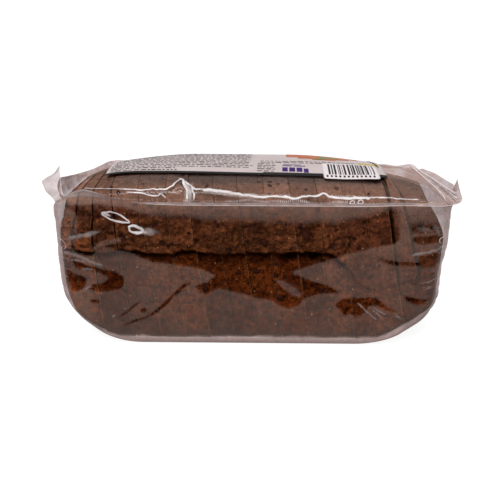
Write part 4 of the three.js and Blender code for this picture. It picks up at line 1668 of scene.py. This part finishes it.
def crease_highlight_ribbons(name, creases, tree, ray, material):
    """One mesh of raised ribbons painted pale as highlights; `ray` turns a flat place into a ray
    towards the film.
    """
    points, faces, haze = [], [], []
    for width, strength, places in creases:
        closed = places[0] == places[-1]
        length = np.linalg.norm(np.diff(np.array(places, float), axis=0), axis=1).sum()
        flat = smooth_curve(places, max(FEWEST_STEPS, int(length / CREASE_STEP)))
        found = [film_under(tree, *ray(*place)) for place in flat]
        found = np.array([f for f in found if f is not None])
        spine, normal = found[:, :3], found[:, 3:]
        for _ in range(2):
            normal[1:-1] = (normal[:-2] + normal[1:-1] + normal[2:]) / 3
        tangent = np.gradient(spine, axis=0)
        across = np.cross(normal, tangent)
        across /= np.linalg.norm(across, axis=1)[:, None] + TINY
        along = np.linspace(0, length, len(spine))
        near_end = np.minimum(along, length - along)
        open_taper = smooth(near_end / (TAPER_WIDTHS * width) + 0.1)
        taper = np.ones(len(spine)) if closed else open_taper
        uneven = 1 + UNEVEN_WIDTH * noise(spine, 2.6, 97)
        spine = spine + across * (CREASE_SWAY * noise(spine, 1.6, 98))[:, None]
        start = sum(len(p) for p in points)
        half = width / 2 * (NARROWEST + (1 - NARROWEST) * taper) * uneven
        rows = [spine + across * (side * half)[:, None] + normal * (CREASE_LIFT + lift * width)
                for side, lift, _ in PROFILE]
        points.append(np.stack(rows, axis=1).reshape(-1, 3))
        faint = taper * (1 + FAINTNESS * noise(spine, 3.1, 100))
        cloud = np.stack([strength * share * faint for _, _, share in PROFILE], axis=1)
        haze.append(cloud.ravel())
        faces += (sheet_grid(len(spine), len(PROFILE)) + start).tolist()
    # The ribbons' haze mark is the painted highlight.
    haze = clamp01(np.concatenate(haze))
    marks = {"haze": haze, "pale": np.ones(len(haze)), "gloss": CREASE_GLOSS * haze}
    piece = make_piece(name, np.concatenate(points), faces, material, marks)
    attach(piece, "root")
    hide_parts("pack")
    return piece


print("points across a ribbon:", len(PROFILE), "and one every", CREASE_STEP, "mm along it")

# %% Painted crease highlights of the tray and the lid
# Near-white film, the colour of the painted crease highlights.
crease_highlight_film = film_finish("painted_crease_highlights", rgb(0.97, 0.90, 0.90))
highlighted_creases = [
    crease_highlight_ribbons("wall_crease_highlights", WALL_CREASE_HIGHLIGHTS, tray_tree, onto_wall, crease_highlight_film),
    crease_highlight_ribbons("lid_crease_highlights", LID_CREASE_HIGHLIGHTS, lid_tree, onto_lid, crease_highlight_film),
    crease_highlight_ribbons("curl_crease_highlights", CURL_CREASE_HIGHLIGHTS, lid_tree, onto_wall, crease_highlight_film),
]
print("faces of the creases:", [len(piece.data.polygons) for piece in highlighted_creases])

# %% [markdown]
# ## Knurled seal
# The sealing bar leaves a row of tiny teeth just inside the front flange. They are short
# ribbons, too, about a millimetre apart, painted pale as glints like the creases, so the same
# function makes them in a loop.

# %% Seal teeth
TEETH_FROM, TEETH_TO, TOOTH_PITCH = -37.0, 51.0, 1.05
# TOOTH_STRENGTH is how bright each tooth's painted glint is.
TOOTH_WIDTH, TOOTH_LENGTH, TOOTH_STRENGTH = 0.42, 1.2, 0.9
TOOTH_INNER_LEFT, TOOTH_INNER_RIGHT, TEETH_BEND = -47.0, -48.3, 50


def seal_tooth_glints():
    teeth = []
    for along in np.arange(TEETH_FROM, TEETH_TO, TOOTH_PITCH):
        bent = smooth((along - TEETH_FROM) / TEETH_BEND)
        inner = mix(TOOTH_INNER_LEFT, TOOTH_INNER_RIGHT, bent)
        places = [(along, inner - out) for out in (0, TOOTH_LENGTH / 2, TOOTH_LENGTH)]
        teeth.append((TOOTH_WIDTH, TOOTH_STRENGTH, places))
    return crease_highlight_ribbons("seal_tooth_glints", teeth, lid_tree, onto_lid, crease_highlight_film)


print("faces of the seal's teeth:", len(seal_tooth_glints().data.polygons))

# %% [markdown]
# ## Label
# The label is a printed film stuck on the lid, so it follows the dome. A plane with a
# Shrinkwrap modifier would follow it as well, but the print on it has to lie just above it
# everywhere. So it is a thin sheet that takes its height from the same crown function as the
# lid, with its corners rounded by shortening the rows near its front and back edges. It was
# stuck on a little askew, its left edge slants, and its front corners stand off the film.

# %% Where the label lies
LABEL = {"left": -79.2, "right": 75.6, "front": -28.2, "back": 34.0, "corner": 4.0}
LABEL_LIFT, LABEL_THICK = 0.35, 0.15
LABEL_TOP = LABEL_LIFT + LABEL_THICK
LABEL_STEP = 1.6
LABEL_TURN, LABEL_PIVOT = math.radians(-2.3), (0.0, 2.0)
LEFT_SLANT, SLANT_FROM, SLANT_LENGTH = 0.10, -20, 60
CORNER_LIFT, CORNER_X, CORNER_LENGTH, CORNER_Y, CORNER_DEPTH = 0.6, -50, 28, 2, 30
RIGHT_LIFT, RIGHT_X, RIGHT_LENGTH, RIGHT_Y, RIGHT_DEPTH = 1.3, 48, 25, -4, 26


def domed_sheet(left, right, front, back, corner, step):
    """Rows of points of a rounded rectangle in plan."""
    across = max(2, round((back - front) / step))
    along = max(2, round((right - left) / step))
    rows = []
    for y in np.linspace(front, back, across + 1):
        short = max(corner - min(y - front, back - y), 0)
        inset = corner - math.sqrt(max(corner**2 - short**2, 0))
        x = np.linspace(left + inset, right - inset, along + 1)
        rows.append(np.column_stack([x, np.full(len(x), y)]))
    return np.stack(rows)


def turned(flat):
    """Plan points of the label, slanted at its left and turned about its pivot."""
    x, y = flat.T
    slant = LEFT_SLANT * (y - LABEL["front"]) * smooth((SLANT_FROM - x) / SLANT_LENGTH)
    flat = np.column_stack([x - slant, y])
    cos, sin = math.cos(LABEL_TURN), math.sin(LABEL_TURN)
    return (flat - LABEL_PIVOT) @ np.array([[cos, sin], [-sin, cos]]) + LABEL_PIVOT


def label_dome(x, y):
    """The dome under the label, which stands off it at its two front corners."""
    left = smooth((CORNER_X - x) / CORNER_LENGTH) * smooth((CORNER_Y - y) / CORNER_DEPTH)
    right = smooth((x - RIGHT_X) / RIGHT_LENGTH) * smooth((RIGHT_Y - y) / RIGHT_DEPTH)
    return crown_height(x, y) + CORNER_LIFT * left + RIGHT_LIFT * right


print("dome under the label's middle, mm:", round(float(label_dome(np.array(0), np.array(0))), 1))

# %% Label sheet
LABEL_WHITE, LABEL_GREY = rgb(0.75, 0.645, 0.635), rgb(0.70, 0.595, 0.585)


def sheet_piece(name, plan, low, high, material):
    """A thin closed sheet over a plan grid, from `low` to `high` above the dome."""
    rows, columns, _ = plan.shape
    flat = turned(plan.reshape(-1, 2))
    dome = label_dome(*flat.T)
    layers = [np.column_stack([flat, dome + lift]) for lift in (low, high)]
    grid = sheet_grid(rows, columns)
    base = rows * columns
    border = [*range(columns), *range(2 * columns - 1, base, columns),
              *range(base - 2, base - columns - 1, -1), *range(base - 2 * columns, 0, -columns)]
    sides = [[a, b, base + b, base + a] for a, b in zip(border, border[1:] + border[:1])]
    faces = [*grid[:, ::-1].tolist(), *(grid + base).tolist(), *sides]
    return make_piece(name, np.concatenate(layers), faces, material)


label_paper = plain_finish("label_paper", LABEL_WHITE, LABEL_GREY, 0.4, 14, 0.05)
plan = domed_sheet(*LABEL.values(), LABEL_STEP)
label = sheet_piece("label_sheet", plan, LABEL_LIFT, LABEL_TOP, label_paper)
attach(label, "root")
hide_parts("label")
print("label faces:", len(label.data.polygons))

# %% [markdown]
# ## Print
# What is printed on the label stays generic: rows of tiny bars where small text would be, a
# black border along the front, a few bold blocks and plain patches of orange, green and
# yellow. An image texture would be the usual way. Here each ink is a mesh of small patches a
# few hundredths of a millimetre above the label, which stays sharp however close one looks.

# %% Printed patches
INK_LIFT = 0.05


def ink_patches(name, patches, lift, material, step=4.0):
    """Patches (left, right, front, back) that follow the dome at `lift`."""
    points, faces = [], []
    for left, right, front, back in patches:
        plan = domed_sheet(left, right, front, back, 0.0, step)
        rows, columns, _ = plan.shape
        flat = turned(plan.reshape(-1, 2))
        start = sum(len(p) for p in points)
        points.append(np.column_stack([flat, label_dome(*flat.T) + lift]))
        faces += (sheet_grid(rows, columns) + start).tolist()
    piece = make_piece(name, np.concatenate(points), faces, material)
    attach(piece, "root")
    return piece


print("ink above the film, mm:", round(LABEL_TOP + INK_LIFT, 2))

# %% Small print
ROW_PITCH, BAR_HEIGHT, LOWEST_BAR = 3.1, 1.45, 0.6
WORD_LEAST, WORD_MOST, SPACE_LEAST, SPACE_MOST = 0.8, 4.2, 0.5, 1.2


def text_bars(left, right, front, back, rng, ragged_end):
    """Word-long bars in rows, like a block of small print."""
    bars = []
    for y in np.arange(front, back - BAR_HEIGHT, ROW_PITCH):
        x, end = left, right - rng.uniform(0, ragged_end)
        while x < end:
            word = rng.uniform(WORD_LEAST, WORD_MOST)
            height = BAR_HEIGHT * rng.uniform(LOWEST_BAR, 1.0)
            bars.append((x, min(x + word, end), y, y + height))
            x += word + rng.uniform(SPACE_LEAST, SPACE_MOST)
    return bars


rng = np.random.default_rng(21)
small_print = [
    *text_bars(-77.5, 2, -19, 32, rng, 3),
    *text_bars(-77, -34, -25, -19.5, rng, 8),
    *text_bars(4.5, 15.5, -24, -9, rng, 2),
    *text_bars(6, 60, -8.5, -2.5, rng, 4),
]
print("bars of small print:", len(small_print))

# %% Blocks, border, fields and all the ink
BOLD_BLOCKS = [  # left, right, front, back
    (18.5, 21.5, -23.6, -17), (22.3, 25.6, -23.6, -17), (26.4, 29.6, -23.6, -17),
    (30.4, 33, -24.6, -18.4), (18.5, 24, -15, -13.6), (25, 31.5, -15, -13.6),
    (19, 29, -12.6, -11.6),
]
BORDER = [(-79.1, 8, -28.6, -26.1), (8, 75.5, -28.6, -25.0)]
WARM_FIELDS = [
    (21, 28, 8, 31), (28, 36, 4, 31), (36, 50, 1, 31), (50, 58, 4, 28), (58, 64, 9, 24),
]
GREEN_FIELDS = [(38, 44, 3, 9), (41, 52, 8, 16)]
YELLOW_FIELDS = [(62.5, 73, -8.4, -1.8)]
grey_ink = plain_finish("grey_ink", rgb(0.035, 0.03, 0.03), rgb(0.06, 0.05, 0.05), 0.5, 3)
black_ink = plain_finish("black_ink", rgb(0.018, 0.016, 0.017), rgb(0.03, 0.026, 0.027), 0.35, 4)
purple_ink = plain_finish("purple_ink", rgb(0.05, 0.018, 0.15), rgb(0.08, 0.03, 0.2), 0.4, 4)
orange_ink = plain_finish("orange_ink", rgb(0.55, 0.10, 0.03), rgb(0.65, 0.20, 0.06), 0.4, 5)
green_ink = plain_finish("green_ink", rgb(0.16, 0.22, 0.05), rgb(0.25, 0.30, 0.08), 0.4, 4)
yellow_ink = plain_finish("yellow_ink", rgb(0.65, 0.48, 0.03), rgb(0.7, 0.55, 0.08), 0.4, 4)
top = LABEL_TOP + INK_LIFT
printed = [
    ink_patches("small_print", small_print, top, grey_ink),
    ink_patches("front_border", BORDER, top, black_ink),
    ink_patches("bold_blocks", BOLD_BLOCKS, top, purple_ink),
    ink_patches("warm_field", WARM_FIELDS, top, orange_ink),
    ink_patches("green_field", GREEN_FIELDS, top + INK_LIFT, green_ink),
    ink_patches("yellow_field", YELLOW_FIELDS, top, yellow_ink),
]
print("printed pieces:", len(printed))

# %% [markdown]
# ## Sticker
# The sticker is plain white paper with upright bars of a few widths, and a row of short
# ticks under them. It is made like the label, a little higher up. The bars come from a seeded
# draw and not from a real code, so they stand for no number.

# %% Sticker
STICKER = {"left": 40.9, "right": 71.2, "front": -31.6, "back": -8.8, "corner": 1.0}
STICKER_LIFT, STICKER_THICK, STICKER_STEP = 0.75, 0.18, 1.2
STICKER_TOP = STICKER_LIFT + STICKER_THICK
STICKER_WHITE, STICKER_GREY = rgb(0.97, 0.88, 0.89), rgb(0.92, 0.83, 0.84)

sticker_paper = plain_finish("sticker_paper", STICKER_WHITE, STICKER_GREY, 0.55, 3)
plan = domed_sheet(*STICKER.values(), STICKER_STEP)
sticker = sheet_piece("sticker_sheet", plan, STICKER_LIFT, STICKER_TOP, sticker_paper)
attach(sticker, "root")
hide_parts("barcode_sticker")
print("sticker faces:", len(sticker.data.polygons))

# %% Bars and ticks
BAR_UNIT, WIDEST_BAR = 0.36, 3
BARS_IN_LEFT, BARS_IN_RIGHT, BARS_FRONT, BARS_BACK = 3.0, 2.6, -26.8, -10.6
TICK_IN, TICKS_END, TICK_WIDE, TICK_PITCH = 1.5, 69.5, 1.1, 2.3
TICK_FRONT, TICK_BACK = -30.0, -27.8

rng = np.random.default_rng(33)
bars, x = [], STICKER["left"] + BARS_IN_LEFT
while x < STICKER["right"] - BARS_IN_RIGHT:
    wide = BAR_UNIT * rng.integers(1, WIDEST_BAR + 1)
    bars.append((x, x + wide, BARS_FRONT, BARS_BACK))
    x += wide + BAR_UNIT * rng.integers(1, WIDEST_BAR + 1)
ticks = [(left, left + TICK_WIDE, TICK_FRONT, TICK_BACK)
         for left in np.arange(STICKER["left"] + TICK_IN, TICKS_END, TICK_PITCH)]
sticker_ink = ink_patches("sticker_bars", bars + ticks, STICKER_TOP + INK_LIFT, black_ink)
print("bars:", len(bars), "ticks:", len(ticks))

# %% [markdown]
# ## Floor and light
# The floor is a pale table, wide and turned up far away, that glows a little, so that it stays
# white behind the pack. A plain plane would show its edge against the world. One soft sun
# from the front and above gives the shading, and the world fills it in. A long bar of light
# overhead is only there to be mirrored: it adds a soft gleam along the lid's shoulder, whose
# bright line is painted by the lid's crease highlights.

# %% Floor
FLOOR_RINGS = [(400, 0), (2600, 0), (3000, 25), (3400, 110), (3700, 270), (3850, 480)]
FLOOR_AROUND = 96
FLOOR_DROP = 0.25 * MM
FLOOR_GLOW = 0.88


def make_floor():
    paint = Finish("pale_table")
    grain = paint.noise(30, 2)
    tone = paint.mix_colours(grain, rgb(0.30, 0.30, 0.30), rgb(0.28, 0.28, 0.28))
    material = paint.principled({
        "Base Color": tone,
        "Roughness": 0.9,
        "Specular IOR Level": 0.0,
        "Emission Color": rgb(1, 1, 1),
        "Emission Strength": FLOOR_GLOW,
    })
    turn = np.linspace(0, 2 * math.pi, FLOOR_AROUND, endpoint=False)
    circle = np.stack([np.cos(turn), np.sin(turn)], axis=1)
    rings = [np.column_stack([circle * out, np.full(FLOOR_AROUND, up)]) for out, up in FLOOR_RINGS]
    faces = ring_grid(len(rings), FLOOR_AROUND)[:, ::-1].tolist()
    faces = [list(range(FLOOR_AROUND)), *faces]
    floor = make_piece("floor", np.concatenate(rings), faces, material)
    floor.location.z = -FLOOR_DROP
    floor.visible_diffuse = False
    return floor


print("floor faces:", len(make_floor().data.polygons))

# %% Light
WORLD_LIGHT = 0.3
SUN_STRENGTH, SUN_ANGLE, SUN_HEIGHT, SUN_FROM_LEFT = 2.1, 34, 58, 0.15
BAR_LENGTH, BAR_WIDTH, BAR_HEIGHT_ABOVE, BAR_POWER = 1.1, 0.10, 0.75, 2.2


def add_light(name, kind, energy, place, aim, **settings):
    data = bpy.data.lights.new(name, kind)
    data.energy = energy
    for key, value in settings.items():
        setattr(data, key, value)
    lamp = bpy.data.objects.new(name, data)
    lamp.location = place
    lamp.rotation_euler = (Vector(aim) - Vector(place)).to_track_quat("-Z", "Y").to_euler()
    bpy.context.scene.collection.objects.link(lamp)
    return lamp


world = bpy.data.worlds.new("studio")
world.use_nodes = True
background = world.node_tree.nodes["Background"]
background.inputs["Color"].default_value = rgb(1, 1, 1)
background.inputs["Strength"].default_value = WORLD_LIGHT
bpy.context.scene.world = world
rise = math.radians(SUN_HEIGHT)
sun_place = (-SUN_FROM_LEFT, -math.cos(rise), math.sin(rise))
sun = add_light("soft_sun", "SUN", SUN_STRENGTH, sun_place, (0, 0, 0),
                angle=math.radians(SUN_ANGLE))
sun.visible_glossy = False
bar = add_light("light_bar", "AREA", BAR_POWER, (0, 0, BAR_HEIGHT_ABOVE), (0, 0, 0),
                shape="RECTANGLE", size=BAR_LENGTH, size_y=BAR_WIDTH)
bar.visible_diffuse = False
bpy.context.scene.view_settings.view_transform = "Standard"
print("lights:", sun.name, bar.name)

# %% [markdown]
# ## Camera
# The pack is looked at from the front and a little above, and from close by, so that its back
# looks smaller than its front. The lens in millimetres is worked out from the render's width
# in pixels and from how many of them one unit of slope covers.

# %% Camera
CAMERA_BACK, CAMERA_HEIGHT, CAMERA_DIP, CAMERA_ROLL = 0.350, 0.1685, 20.0, 0.5
PICTURE_SIDE, FOCAL_PIXELS = 500, 600
SENSOR_WIDTH, NEAREST_SEEN = 36.0, 0.01

camera = bpy.data.objects.new("camera", bpy.data.cameras.new("camera"))
camera.data.sensor_width = SENSOR_WIDTH
camera.data.lens = SENSOR_WIDTH * FOCAL_PIXELS / PICTURE_SIDE
camera.data.clip_start = NEAREST_SEEN
turn = Matrix.Rotation(math.radians(90 - CAMERA_DIP), 4, "X")
roll = Matrix.Rotation(math.radians(CAMERA_ROLL), 4, "Z")
camera.matrix_world = Matrix.Translation((0, -CAMERA_BACK, CAMERA_HEIGHT)) @ turn @ roll
bpy.context.scene.collection.objects.link(camera)
bpy.context.scene.camera = camera
print("lens, mm:", camera.data.lens)

# %% [markdown]
# ## The end
# Everything made above has to lie inside the solids' box, because the solids stand for the
# pack's room on a shelf.
